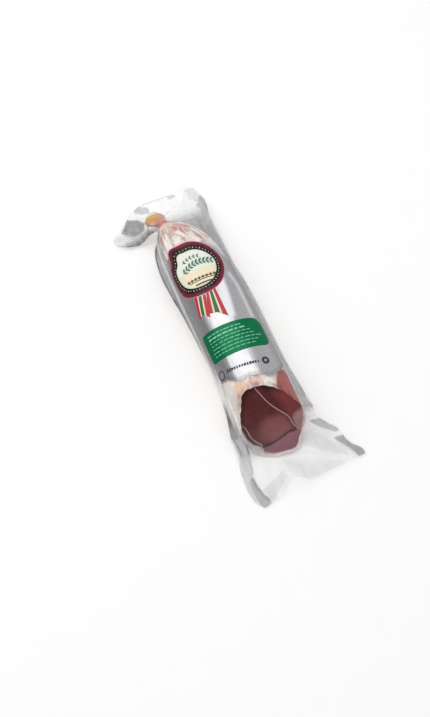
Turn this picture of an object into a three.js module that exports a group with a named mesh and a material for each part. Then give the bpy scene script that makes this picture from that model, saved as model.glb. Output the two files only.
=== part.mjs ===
// A half cured pork loin in a clear vacuum bag, lying on its flat side with the labelled side up.
//
// The loin is an oval bar of meat in its casing. Its far end is gathered and tied to one side, and its near
// end is cut off at a slant. Two sheets of film are drawn tight over it. They meet in a fin along each side
// and run on as a flat skirt past each end, pinched on one side and flared on the other. The print lies on the
// film in separate fields: a silver field, and on it a round badge in three rings, two ribbon tails and a
// green panel.
//
// Millimetres. X runs across the pack, Y along it, Z up. The cut end is at -Y and the tied end at +Y. The
// origin is on the floor, under the middle of the pack.

import * as THREE from "three";

// ---- Driving dimensions

const BAG_HALF_LENGTH = 173.5; // from the middle to the seal at either end
const BAG_HALF_SPREAD = 68.5; // from the long axis to the farthest corner of either skirt
const FILM_PAIR = 1; // the two sheets pressed together, drawn thicker than real film
const FILM_BRIDGE = 5; // how widely the film rounds the corner between the meat and a fin
const SIDE_FIN_HEIGHT = 19; // where a fin leaves the meat
const SIDE_FIN_DROOP = 0.3; // how far it falls for each millimetre out
const SEAL_FLOOR_GAP = 0.7; // middle of the sheets above the floor, at a skirt's corners

const LOIN_HALF_WIDTH = 31.5;
const LOIN_CENTRE_HEIGHT = 23.5;
const LOIN_RISE = 25; // from the centre height to the crest
const LOIN_DROP = 25; // from the centre height down, before the floor flattens it
const RIM_ROUNDING = 5; // how widely the film rounds the cut's rim

const CUT_FOOT_Y = -131.5; // where the slanting cut meets the floor, on the middle line
const CUT_HEAD_Y = -77; // where it meets the crest
const CUT_SKEW = -0.39; // how far the cut runs along the pack for each millimetre across, at the crest
const FOOT_SKEW = -0.15; // the same at the floor
const KNOT_END_Y = 157; // tip of the gathered casing
const GATHERS = { height: 1.2, count: 7, start: 94, full: 118, fade: 126, end: 138 }; // folds at the shoulder
const END_FALL = { far: 4, near: 0.8 }; // how steeply the loin's form closes past its ends

const PRINT_ARC = -9; // the print's own middle line, round the loin from its crest
const PRINT_THICK = 0.4;
const PRINT_GAP = 0.45; // under each layer of print
const FIELD_GAP = 0.3; // between two fields side by side

const FAR_ARCH = { height: 22, left: [-66, -14], right: [58, 14] }; // the far skirt stands off the floor
const NEAR_RIDGE = { height: 15, x: -5, width: 11, rise: [-130, -160] }; // a fold up the near skirt
const NEAR_SWELL = { height: 5, humps: [[24, 22], [-32, 9]], rise: [-120, -145], fall: [-180, -150] };
const FAR_PINCH = { x: -21, y: 135, side: -1, folds: 5, phase: 0.6, height: 3 };
const NEAR_PINCH = { x: 36, y: -118, side: 1, folds: 4, phase: 0.4, height: 2.5 };
const PINCH_REACH = { from: 6, full: 34, edge: 14 }; // where a pinch's folds start and are highest

// The print's places are arcs and y: millimetres round the loin from the print's own middle line, and along it.
const SILVER = { far: 91, halfArc: 41, ripple: 1.2, ripples: 7 };
const BADGE = { arc: -1.1, y: 65.2, rim: 31.5, ring: 27.2, face: 21.2 };
const RIBBON_LEFT = { root: -8.4, rootHalf: 6.1, tip: -13.9, tipHalf: 6, leftY: 13.8, rightY: 8.6, notch: 4.7 };
const RIBBON_RIGHT = { root: 3.6, rootHalf: 5.2, tip: 1, tipHalf: 7.2, leftY: 12.9, rightY: 1.7, notch: 2.9 };
const PANEL = { arc: 5, y: -20.8, slope: -0.08, halfLength: 16, halfArc: 34, leftCorner: 4, rightCorner: 9 };

// ---- Small tools

const clamp = (v, low, high) => Math.min(Math.max(v, low), high);
const mix = (a, b, t) => a + (b - a) * t;
const bump = (x, middle, width) => Math.exp(-(((x - middle) / width) ** 2));

/** 0 at from, 1 at to, and an even curve between them; to may be the lower of the two. */
function ease(from, to, x) {
  const t = clamp((x - from) / (to - from), 0, 1);
  return t * t * (3 - 2 * t);
}

/** The larger of a and b, rounded over where they are within radius of each other. */
function smoothMax(a, b, radius) {
  const t = clamp(0.5 + (0.5 * (a - b)) / radius, 0, 1);
  return mix(b, a, t) + radius * 0.5 * t * (1 - t);
}

const smoothMin = (a, b, radius) => -smoothMax(-a, -b, radius);

/** A smooth curve through [position, value] pairs in rising order, level beyond both ends. */
function through(points) {
  const last = points.length - 1;
  const slope = points.map((_, i) => {
    if (i === 0 || i === last) return 0;
    return (points[i + 1][1] - points[i - 1][1]) / (points[i + 1][0] - points[i - 1][0]);
  });
  return (x) => {
    if (x <= points[0][0]) return points[0][1];
    if (x >= points[last][0]) return points[last][1];
    const i = points.findIndex((p) => p[0] >= x);
    const [x0, v0] = points[i - 1];
    const [x1, v1] = points[i];
    const span = x1 - x0;
    const t = (x - x0) / span;
    const leave = t * (1 - t) * (1 - t) * span * slope[i - 1];
    const arrive = t * t * (t - 1) * span * slope[i];
    return mix(v0, v1, t * t * (3 - 2 * t)) + leave + arrive;
  };
}

// ---- The loin in its casing

/** Share of the loin's full girth at y: a long bar, a shoulder, a tied neck and a knot. */
const girth = through([
  [-80, 1.0],
  [0, 0.99],
  [55, 0.965],
  [88, 0.91],
  [108, 0.79],
  [124, 0.58],
  [135, 0.35],
  [142, 0.24],
  [149, 0.29],
  [KNOT_END_Y, 0.12],
]);

/** The loin's middle line, which the tie draws to one side. */
const middleX = through([
  [-110, -3],
  [-70, -2],
  [-20, -1],
  [78, -1],
  [108, -4],
  [124, -8],
  [135, -14],
  [149, -25],
]);

const halfWidthAt = (y) => LOIN_HALF_WIDTH * girth(y);

/** How far across the loin x is: 0 on the middle line, 1 at its side and more beyond. */
const acrossAt = (x, y) => Math.abs(x - middleX(y)) / halfWidthAt(y);

const footY = (x) => CUT_FOOT_Y + FOOT_SKEW * x;
const headY = (x) => CUT_HEAD_Y + CUT_SKEW * x;

/** Height of the slanting cut over x, y. */
function cutHeight(x, y) {
  return ((y - footY(x)) / (headY(x) - footY(x))) * (LOIN_CENTRE_HEIGHT + LOIN_RISE);
}

/** The share of an oval's height that is left at across, and the steep fall past its side. */
function oval(across, halfWidth) {
  return {
    share: Math.sqrt(Math.max(1 - across * across, 0)),
    fall: Math.max(across - 1, 0) * 3 * halfWidth,
  };
}

/** Folds along the shoulder, where the casing is gathered. */
function gathers(across, y) {
  const { height, count, start, full, fade, end } = GATHERS;
  const turn = Math.asin(Math.min(across, 1));
  return height * ease(start, full, y) * ease(end, fade, y) * Math.cos(count * turn);
}

/** The meat's upper side. Past its outline it falls away, so that the film's own height counts there. */
function loinTop(x, y) {
  const across = acrossAt(x, y);
  const { share, fall } = oval(across, halfWidthAt(y));
  const round = LOIN_CENTRE_HEIGHT + (LOIN_RISE * girth(y) + gathers(across, y)) * share - fall;
  const pastKnot = Math.max(y - KNOT_END_Y, 0) * END_FALL.far;
  return smoothMin(round - pastKnot, cutHeight(x, y), RIM_ROUNDING);
}

/** The meat's underside, flattened where it rests. */
function loinBottom(x, y) {
  const { share, fall } = oval(acrossAt(x, y), halfWidthAt(y));
  const round = LOIN_CENTRE_HEIGHT - LOIN_DROP * girth(y) * share + fall;
  const pastKnot = Math.max(y - KNOT_END_Y, 0) * END_FALL.far;
  const pastCut = Math.max(footY(x) - y, 0) * END_FALL.near;
  return Math.max(round + pastKnot + pastCut, 0);
}

// ---- The bag: its edges, rows and columns

const FAR_SKIRT_Y = 136; // past these two the rows fan out towards the seals
const NEAR_SKIRT_Y = -122;
const FLARE_LAG = 1.7; // how much later the rows rise at the far skirt's left corner
const FLARE_SHARE = 0.3; // how far in from that corner they do

/** The bag's left edge by row: a narrow fin, drawn in at the tied neck and flared past it. */
const leftEdge = through([
  [-BAG_HALF_LENGTH, -43],
  [-166, -48],
  [-157, -50],
  [-146, -49],
  [-134, -46.5],
  [-119, -44.5],
  [-94, -40],
  [-47, -36],
  [5, -36],
  [30, -37],
  [62, -39.5],
  [87, -40],
  [111, -36],
  [128, -26],
  [FAR_SKIRT_Y, -22.5],
  [140, -29],
  [154, -53],
  [166, -65.5],
  [BAG_HALF_LENGTH, -BAG_HALF_SPREAD],
]);

/** The bag's right edge by row: a wider fin, flared past the cut. */
const rightEdge = through([
  [-BAG_HALF_LENGTH, BAG_HALF_SPREAD],
  [-146, 61],
  [-123, 56],
  [-112, 53],
  [-104, 43],
  [-98, 38.5],
  [-88, 40],
  [-65, 38],
  [-46, 36.5],
  [15, 37.5],
  [47, 37],
  [71, 34.5],
  [104, 35.5],
  [FAR_SKIRT_Y, 35.5],
  [150, 39],
  [162, 39],
  [BAG_HALF_LENGTH, 34],
]);

/** The far seal's place along the pack, with s from 0 at its left corner to 1 at its right one. */
const farSeal = through([
  [0, 151.5],
  [0.04, 157],
  [0.12, 164],
  [0.22, 169],
  [0.36, 171],
  [0.58, 170],
  [0.78, 170],
  [0.9, BAG_HALF_LENGTH],
  [1, 172],
]);

/** The near seal's place: askew, and drawn in where the film stands up in a ridge. */
const nearSeal = through([
  [0, -BAG_HALF_LENGTH],
  [0.19, -169.5],
  [0.31, -161.5],
  [0.45, -167],
  [0.7, -165.5],
  [1, -164.5],
]);

const SKEW_START_Y = -30; // where the rows begin to lean with the cut
const SKEW_FADE_Y = -112; // where they begin to straighten towards the near seal

/** Where a row's point lies along the pack, s of the way across it. Rows near the cut lie along its skew. */
function rowY(row, x, s) {
  if (row > FAR_SKIRT_Y) {
    const beyond = (row - FAR_SKIRT_Y) / (BAG_HALF_LENGTH - FAR_SKIRT_Y);
    return mix(FAR_SKIRT_Y, farSeal(s), beyond ** (1 + FLARE_LAG * ease(FLARE_SHARE, 0, s)));
  }
  const lean = ease(SKEW_START_Y, CUT_HEAD_Y, row) * ease(-BAG_HALF_LENGTH, SKEW_FADE_Y, row);
  const skew = CUT_SKEW * x * lean;
  const past = Math.max(NEAR_SKIRT_Y - row, 0) / (BAG_HALF_LENGTH + NEAR_SKIRT_Y);
  return row + past * (nearSeal(s) + BAG_HALF_LENGTH) + skew;
}

/** Stations along the pack, closer together at the cut, the shoulder and the flares. */
function stations() {
  const runs = [
    [-BAG_HALF_LENGTH, -128, 9],
    [-128, -74, 14],
    [-74, 84, 9],
    [84, 124, 7],
    [124, BAG_HALF_LENGTH, 14],
  ];
  const rows = [-BAG_HALF_LENGTH];
  for (const [from, to, steps] of runs) {
    for (let i = 1; i <= steps; i++) rows.push(mix(from, to, i / steps));
  }
  return rows;
}

const FIN_STEPS = 5;
const BODY_STEPS = 22;
const LEAST_BODY_HALF = 8; // keeps the columns apart where the neck is thin
const LEAST_FIN = 1.5;
const EVEN_NEAR_Y = -150; // past these the columns are evenly spaced
const EVEN_FAR = [146, 164];

/** The x of each column in a row: even steps over the fins, and closer ones down the loin's sides. */
function columns(row) {
  const left = leftEdge(row);
  const right = rightEdge(row);
  const half = Math.max(halfWidthAt(row), LEAST_BODY_HALF);
  const middle = clamp(middleX(row), left + half + LEAST_FIN, right - half - LEAST_FIN);
  const flat = Math.max(ease(NEAR_SKIRT_Y, EVEN_NEAR_Y, row), ease(...EVEN_FAR, row));
  const xs = [];
  for (let i = 0; i < FIN_STEPS; i++) xs.push(mix(left, middle - half, i / FIN_STEPS));
  for (let i = 0; i <= BODY_STEPS; i++) {
    const even = (2 * i) / BODY_STEPS - 1;
    xs.push(middle + half * Math.sin((even * Math.PI) / 2));
  }
  for (let i = 1; i <= FIN_STEPS; i++) xs.push(mix(middle + half, right, i / FIN_STEPS));
  return xs.map((x, i) => mix(x, mix(left, right, i / (xs.length - 1)), flat));
}

// ---- The bag: its heights

const UNDER_FIN_HEIGHT = 3; // the sheets' middle under the loin, where the loin hides it
const FIN_DROOP_REACH = 14; // past this a fin falls no farther
const FALL_TO_FAR = [132, 156]; // where the fins come down to the skirts' own level
const FALL_TO_NEAR = [-90, -140];
const FLARE_FALL = { x: [-28, -46], y: [122, 136], arch: [134, 160], edge: [-22, -40] }; // at the flare

/** Folds that fan out from a pinched corner of the bag. */
function fan(x, y, pinch) {
  const out = (x - pinch.x) * pinch.side;
  const turn = Math.atan2(y - pinch.y, out);
  const away = Math.hypot(x - pinch.x, y - pinch.y);
  const reach = ease(PINCH_REACH.from, PINCH_REACH.full, away) * ease(0, PINCH_REACH.edge, out);
  return pinch.height * reach * Math.sin(pinch.folds * turn + pinch.phase);
}

/** Height of the far skirt's arch, which comes later at the flare on its left. */
function farArch(x, y) {
  const level = FAR_ARCH.height * ease(...FAR_ARCH.left, x) * ease(...FAR_ARCH.right, x);
  return level * mix(1, ease(...FLARE_FALL.arch, y), ease(...FLARE_FALL.edge, x));
}

/** Height of the near skirt's fold and the low swells beside it. */
function nearFolds(x, y) {
  const ridge = NEAR_RIDGE.height * bump(x, NEAR_RIDGE.x, NEAR_RIDGE.width) * ease(...NEAR_RIDGE.rise, y);
  const humps = NEAR_SWELL.humps.reduce((sum, [middle, width]) => sum + bump(x, middle, width), 0);
  return ridge + NEAR_SWELL.height * humps * ease(...NEAR_SWELL.rise, y) * ease(...NEAR_SWELL.fall, y);
}

/** Height of the middle of the two sheets where they lie together. */
function webHeight(x, y) {
  const outside = Math.max(Math.abs(x - middleX(y)) - halfWidthAt(y), 0);
  const fin = SIDE_FIN_HEIGHT - SIDE_FIN_DROOP * Math.min(outside, FIN_DROOP_REACH);
  const side = mix(UNDER_FIN_HEIGHT, fin, ease(0.55, 1, acrossAt(x, y)));
  const flare = ease(...FLARE_FALL.x, x) * ease(...FLARE_FALL.y, y);
  const toFar = Math.max(ease(...FALL_TO_FAR, y), flare);
  const toNear = ease(...FALL_TO_NEAR, y - CUT_SKEW * x);
  const far = mix(side, SEAL_FLOOR_GAP + farArch(x, y), toFar);
  const level = mix(far, SEAL_FLOOR_GAP + nearFolds(x, y), toNear);
  return Math.max(level + fan(x, y, FAR_PINCH) + fan(x, y, NEAR_PINCH), SEAL_FLOOR_GAP);
}

function filmTop(x, y) {
  return smoothMax(loinTop(x, y), webHeight(x, y) + FILM_PAIR / 2, FILM_BRIDGE);
}

function filmBottom(x, y) {
  const low = smoothMin(loinBottom(x, y), webHeight(x, y) - FILM_PAIR / 2, FILM_BRIDGE);
  return clamp(low, 0, filmTop(x, y) - FILM_PAIR);
}

// ---- From grids of points to closed solids

/**
 * A closed solid between two grids of the same rows and columns, upper and lower, that hold [x, y, z] points.
 * A looped pair closes on itself along its columns.
 */
function slab(upper, lower, looped = false) {
  const rows = upper.length;
  const cols = upper[0].length;
  const index = [];
  const at = (side, r, c) => side * rows * cols + r * cols + (c % cols);
  const quad = (a, b, c, d) => index.push(a, b, c, a, c, d);
  const across = looped ? cols : cols - 1;
  for (let r = 0; r < rows - 1; r++) {
    for (let c = 0; c < across; c++) {
      quad(at(0, r, c), at(0, r, c + 1), at(0, r + 1, c + 1), at(0, r + 1, c));
      quad(at(1, r, c), at(1, r + 1, c), at(1, r + 1, c + 1), at(1, r, c + 1));
    }
    if (!looped) {
      quad(at(0, r, 0), at(0, r + 1, 0), at(1, r + 1, 0), at(1, r, 0));
      quad(at(0, r, cols - 1), at(1, r, cols - 1), at(1, r + 1, cols - 1), at(0, r + 1, cols - 1));
    }
  }
  for (let c = 0; c < across; c++) {
    quad(at(0, 0, c), at(1, 0, c), at(1, 0, c + 1), at(0, 0, c + 1));
    quad(at(0, rows - 1, c), at(0, rows - 1, c + 1), at(1, rows - 1, c + 1), at(1, rows - 1, c));
  }
  const geometry = new THREE.BufferGeometry();
  geometry.setAttribute("position", new THREE.Float32BufferAttribute([...upper, ...lower].flat(2), 3));
  geometry.setIndex(index);
  geometry.computeVertexNormals();
  return geometry;
}

function bagGeometry() {
  const upper = [];
  const lower = [];
  for (const row of stations()) {
    const xs = columns(row);
    const places = xs.map((x, i) => [x, rowY(row, x, i / (xs.length - 1))]);
    upper.push(places.map(([x, y]) => [x, y, filmTop(x, y)]));
    lower.push(places.map(([x, y]) => [x, y, filmBottom(x, y)]));
  }
  return slab(upper, lower);
}

// ---- The print, which follows the film over the loin

const WALK_STEP = 0.02; // radians round the loin's oval

/** The point `lift` above the film, `arc` millimetres round the loin from its crest, at y. */
function onFilm(arc, y, lift) {
  const at = (turn) => {
    const x = middleX(y) + halfWidthAt(y) * Math.sin(turn);
    return new THREE.Vector2(x, filmTop(x, y));
  };
  let turn = 0;
  let walked = 0;
  let here = at(0);
  while (walked < Math.abs(arc)) {
    const next = at(turn + Math.sign(arc) * WALK_STEP);
    const stride = next.distanceTo(here);
    const share = Math.min((Math.abs(arc) - walked) / stride, 1);
    turn += Math.sign(arc) * WALK_STEP * share;
    walked += stride;
    here = share < 1 ? at(turn) : next;
  }
  const along = at(turn + WALK_STEP).sub(at(turn - WALK_STEP)).normalize();
  return [here.x - along.y * lift, y, here.y + along.x * lift];
}

/** A field of print from a grid of [arc, y] places. Layer 1 lies on the film, and layer 2 on layer 1. */
function printed(layer, places, looped = false) {
  const lift = PRINT_GAP + (layer - 1) * (PRINT_THICK + PRINT_GAP);
  const raised = (by) => places.map((row) => row.map(([arc, y]) => onFilm(PRINT_ARC + arc, y, by)));
  return slab(raised(lift + PRINT_THICK), raised(lift), looped);
}

/** A grid of places from place(s, t), with s and t running from -1 to 1. */
function grid(rows, cols, place) {
  const line = (t) => Array.from({ length: cols + 1 }, (_, c) => place((2 * c) / cols - 1, t));
  return Array.from({ length: rows + 1 }, (_, r) => line((2 * r) / rows - 1));
}

/** The silver field's near edge, by arc from the crest. */
const silverNear = through([
  [-30, -56],
  [-24, -60.5],
  [-10, -65.5],
  [0, -67],
  [11, -71.5],
  [24, -69.5],
  [41, -62],
]);

/** The silver field: a band over the loin, with rippled ends where the film has shrunk. */
function silverField() {
  const place = (s, t) => {
    const arc = s * SILVER.halfArc;
    const ripple = SILVER.ripple * t * Math.abs(t) * Math.sin(SILVER.ripples * s + t);
    return [arc - PRINT_ARC, mix(silverNear(arc), SILVER.far, (t + 1) / 2) + ripple];
  };
  return printed(1, grid(14, 24, place));
}

const RING_SEGMENTS = 40;

/** A ring of the badge, between two radii. */
function badgeRing(inner, outer) {
  const circle = (radius) =>
    Array.from({ length: RING_SEGMENTS }, (_, i) => {
      const turn = (2 * Math.PI * i) / RING_SEGMENTS;
      return [BADGE.arc + radius * Math.cos(turn), BADGE.y + radius * Math.sin(turn)];
    });
  return printed(2, [circle(outer), circle((inner + outer) / 2), circle(inner)], true);
}

/** The badge's round middle field, as a grid drawn in from a square. */
function badgeFace() {
  const radius = BADGE.face - FIELD_GAP / 2;
  const place = (s, t) => {
    const across = radius * s * Math.sqrt(1 - (t * t) / 2);
    const along = radius * t * Math.sqrt(1 - (s * s) / 2);
    return [BADGE.arc + across, BADGE.y + along];
  };
  return printed(2, grid(10, 10, place));
}

/** A ribbon tail, from under the badge to a notched end. */
function ribbonTail({ root, rootHalf, tip, tipHalf, leftY, rightY, notch }) {
  const place = (s, t) => {
    const down = (1 - t) / 2;
    const arc = mix(root + s * rootHalf, tip + s * tipHalf, down);
    const rootY = BADGE.y - Math.sqrt((BADGE.rim + FIELD_GAP) ** 2 - (arc - BADGE.arc) ** 2);
    const tipY = mix(leftY, rightY, (s + 1) / 2) + notch * (1 - Math.abs(s));
    return [arc, mix(rootY, tipY, down)];
  };
  return printed(2, grid(8, 6, place));
}

/** How far a round corner draws a band's side in, t of the way along it from its middle. */
function cornerInset(corner, t) {
  const into = clamp((Math.abs(t) * PANEL.halfLength - (PANEL.halfLength - corner)) / corner, 0, 1);
  return corner * (1 - Math.sqrt(1 - into * into * 0.98));
}

/** The green panel, a band with rounded corners that lies a little askew. */
function greenPanel() {
  const place = (s, t) => {
    const left = -PANEL.halfArc + cornerInset(PANEL.leftCorner, t);
    const right = PANEL.halfArc - cornerInset(PANEL.rightCorner, t);
    const arc = mix(left, right, (s + 1) / 2);
    return [PANEL.arc + arc, PANEL.y + PANEL.slope * arc + t * PANEL.halfLength];
  };
  return printed(2, grid(16, 20, place));
}

// ---- The object

function named(name, geometry, hex, roughness) {
  const finish = new THREE.MeshStandardMaterial({ color: hex, roughness, metalness: 0 });
  const mesh = new THREE.Mesh(geometry, finish);
  mesh.name = name;
  return mesh;
}

const pack = new THREE.Group();
pack.add(
  named("sealed_bag", bagGeometry(), "#cfcfd1", 0.2),
  named("silver_field", silverField(), "#dcdce0", 0.35),
  named("badge_rim", badgeRing(BADGE.ring + FIELD_GAP / 2, BADGE.rim), "#7a1f35", 0.45),
  named("badge_ring", badgeRing(BADGE.face + FIELD_GAP / 2, BADGE.ring - FIELD_GAP / 2), "#3a372b", 0.45),
  named("badge_face", badgeFace(), "#eceadd", 0.45),
  named("ribbon_tail_left", ribbonTail(RIBBON_LEFT), "#c8333f", 0.45),
  named("ribbon_tail_right", ribbonTail(RIBBON_RIGHT), "#c8333f", 0.45),
  named("green_panel", greenPanel(), "#0c7a4e", 0.4),
);

export default pack;
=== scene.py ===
"""Looks for a half cured pork loin in a clear vacuum bag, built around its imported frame.

The loin lies on its flat side: an oval bar of meat in a mould-bloomed casing, cut off at a slant at its near end and
gathered, tied and bent over at its far end. The film is drawn tight over it and runs on in fins and creased skirts.
The print lies on the film: a silver field, a round rosette with two ribbon tails, a green panel and a line of marks.

Lengths are in millimetres until a mesh is made. X runs across the pack, Y along it, Z up, as in the frame.
"""

import logging
import math
from dataclasses import dataclass
from enum import Enum
from functools import cache
from typing import Any, Callable, Iterable, Sequence

import bpy
import numpy as np
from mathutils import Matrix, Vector


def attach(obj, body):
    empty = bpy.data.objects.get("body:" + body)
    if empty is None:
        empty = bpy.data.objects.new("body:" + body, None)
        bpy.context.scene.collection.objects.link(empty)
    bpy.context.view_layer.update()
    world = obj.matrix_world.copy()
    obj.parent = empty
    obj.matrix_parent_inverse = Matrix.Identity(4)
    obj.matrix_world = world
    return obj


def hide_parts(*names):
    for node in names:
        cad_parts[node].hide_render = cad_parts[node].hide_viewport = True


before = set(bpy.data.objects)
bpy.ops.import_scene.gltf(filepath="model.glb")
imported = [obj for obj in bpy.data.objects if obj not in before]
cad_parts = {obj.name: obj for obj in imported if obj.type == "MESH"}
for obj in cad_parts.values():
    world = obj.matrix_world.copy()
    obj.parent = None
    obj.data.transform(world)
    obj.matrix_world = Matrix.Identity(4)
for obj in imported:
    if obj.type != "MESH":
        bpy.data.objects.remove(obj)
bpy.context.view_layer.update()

Array = np.ndarray
Socket = bpy.types.NodeSocket
NodeTree = bpy.types.NodeTree
MM = 0.001
LOG = logging.getLogger("cured_pork_loin")


# ---- Small tools


def mix(a: Any, b: Any, t: Any) -> Any:
    """a at t 0 and b at t 1."""
    return a + (b - a) * t


def ease(start: float, end: float, x: Array) -> Array:
    """0 at start, 1 at end, and an even curve between them; end may be the lower of the two."""
    t = np.clip((x - start) / (end - start), 0, 1)
    return t * t * (3 - 2 * t)


def bump(x: Array, middle: float, width: float) -> Array:
    """A round hump of height 1."""
    return np.exp(-(((x - middle) / width) ** 2))


def smooth_max(a: Array, b: Array, radius: float) -> Array:
    """The larger of a and b, rounded over outwards where they are within radius of each other."""
    t = np.clip(0.5 + 0.5 * (a - b) / radius, 0, 1)
    return mix(b, a, t) + radius * t * (1 - t)


def smooth_min(a: Array, b: Array, radius: float) -> Array:
    """The smaller of a and b, rounded over inwards."""
    return -smooth_max(-a, -b, radius)


class Curve:
    """A smooth curve through (position, value) pairs in rising order, level beyond both ends."""

    def __init__(self, *points: tuple[float, float]) -> None:
        """Keeps the pairs and works out the slope at each."""
        self.x, self.v = np.array(points, float).T
        self.slope = np.zeros(len(self.x))
        self.slope[1:-1] = (self.v[2:] - self.v[:-2]) / (self.x[2:] - self.x[:-2])

    def __call__(self, x: Array) -> Array:
        """The curve's value at x."""
        x = np.clip(np.asarray(x, float), self.x[0], self.x[-1])
        i = np.clip(np.searchsorted(self.x, x) - 1, 0, len(self.x) - 2)
        span = self.x[i + 1] - self.x[i]
        t = (x - self.x[i]) / span
        leave = t * (1 - t) ** 2 * span * self.slope[i]
        arrive = t * t * (t - 1) * span * self.slope[i + 1]
        return mix(self.v[i], self.v[i + 1], t * t * (3 - 2 * t)) + leave + arrive


class Grain:
    """Smooth seeded noise over a plane, from -1 to 1, that repeats every 64 cells."""

    CELLS = 64

    def __init__(self, seed: int) -> None:
        """Fills the lattice from a fixed seed."""
        self.lattice = np.random.default_rng(seed).uniform(-1, 1, (self.CELLS, self.CELLS))

    def __call__(self, u: Array, v: Array) -> Array:
        """The noise at u, v, where one cell is one unit wide."""
        i, j = np.floor(u).astype(int), np.floor(v).astype(int)
        fu, fv = u - i, v - j
        fu, fv = fu * fu * (3 - 2 * fu), fv * fv * (3 - 2 * fv)
        at = lambda a, b: self.lattice[a % self.CELLS, b % self.CELLS]
        low = mix(at(i, j), at(i + 1, j), fu)
        high = mix(at(i, j + 1), at(i + 1, j + 1), fu)
        return mix(low, high, fv)


def line_distance(x: Array, y: Array, path: Sequence[tuple[float, float]]) -> tuple[Array, Array]:
    """How far places lie from a line of straight stretches.

    Args:
        x: places across the pack.
        y: places along it.
        path: the line's corners.

    Returns:
        The distance, with its sign telling the side (left of the line's direction is positive), and how far along
        the line the nearest point is, from 0 to 1.
    """
    points = np.array(path, float)
    steps = np.diff(points, axis=0)
    lengths = np.hypot(steps[:, 0], steps[:, 1])
    total = lengths.sum()
    best, side, along, walked = np.full(np.shape(x), np.inf), np.zeros(np.shape(x)), np.zeros(np.shape(x)), 0.0
    for start, step, length in zip(points, steps, lengths):
        dx, dy = x - start[0], y - start[1]
        t = np.clip((dx * step[0] + dy * step[1]) / length**2, 0, 1)
        away = np.hypot(dx - t * step[0], dy - t * step[1])
        nearer = away < best
        best = np.where(nearer, away, best)
        side = np.where(nearer, np.sign(step[0] * dy - step[1] * dx), side)
        along = np.where(nearer, (walked + t * length) / total, along)
        walked += length
    return best * np.where(side == 0, 1, side), along


# ---- Nodes and finishes


def put(tree: NodeTree, kind: str, links: dict[Any, Any] | None = None, out: Any = 0, **settings: Any) -> Any:
    """Adds a node with its settings and links.

    Args:
        tree: the node tree.
        kind: the node's type.
        links: for each input, by name or number, a value to set or an output to link.
        out: the output to hand back, by name or number.
        settings: the node's own properties.

    Returns:
        That output, or None where the node has none.
    """
    node = tree.nodes.new(kind)
    for key, value in settings.items():
        setattr(node, key, value)
    for key, value in (links or {}).items():
        socket = node.inputs[key]
        if isinstance(value, bpy.types.NodeSocket):
            tree.links.new(value, socket)
        else:
            socket.default_value = value
    return node.outputs[out] if node.outputs else None


def linear(hex_colour: str) -> tuple[float, float, float, float]:
    """An sRGB hex colour as the linear one that Blender works with."""
    parts = [int(hex_colour[i : i + 2], 16) / 255 for i in (1, 3, 5)]
    red, green, blue = (c / 12.92 if c <= 0.04045 else ((c + 0.055) / 1.055) ** 2.4 for c in parts)
    return red, green, blue, 1.0


def ramp(tree: NodeTree, fac: Socket, *stops: tuple[float, str]) -> Socket:
    """Colours by a number: each stop is a position from 0 to 1 with its colour."""
    colour = put(tree, "ShaderNodeValToRGB", {"Fac": fac})
    elements = colour.node.color_ramp.elements
    while len(elements) < len(stops):
        elements.new(0.5)
    for element, (position, tone) in zip(elements, stops):
        element.position, element.color = position, linear(tone)
    return colour


def glaze(tree: NodeTree, colour: Any, *layers: tuple[Any, float, float, str, float]) -> Socket:
    """Lays tones over a colour.

    Args:
        tree: the material's tree.
        colour: the colour's output or value.
        layers: each one's share (an output, or the name of a value of the mesh), where the share starts to show and
            where it shows most, the tone, and how much of it shows there.

    Returns:
        The colour with every layer on it.
    """
    for share, low, high, tone, most in layers:
        if isinstance(share, str):
            share = put(tree, "ShaderNodeAttribute", out="Fac", attribute_name=share)
        spread = {"Value": share, "From Min": low, "From Max": high, "To Min": 0.0, "To Max": most}
        parts = {"Factor": put(tree, "ShaderNodeMapRange", spread), "A": colour, "B": linear(tone)}
        colour = put(tree, "ShaderNodeMix", parts, out=2, data_type="RGBA")
    return colour


@dataclass(frozen=True)
class Finish:
    """What a piece is made of: its material's name and a slot name."""

    name: str
    slot: str

    @cache
    def build(self) -> bpy.types.Material:
        """The material, which is made once."""
        material = bpy.data.materials.new(self.name)
        material.use_nodes = True
        tree = material.node_tree
        tree.nodes.clear()
        place = put(tree, "ShaderNodeTexCoord").node.outputs
        put(tree, "ShaderNodeOutputMaterial", {"Surface": self.surface(tree, place["Object"], place["UV"])})
        return material

    def surface(self, tree: NodeTree, place: Socket, uv: Socket) -> Socket:
        """Draws the surface.

        Args:
            tree: the material's tree.
            place: the place on the piece, in metres.
            uv: the piece's own map.

        Returns:
            The shader's output.
        """
        raise NotImplementedError


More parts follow.
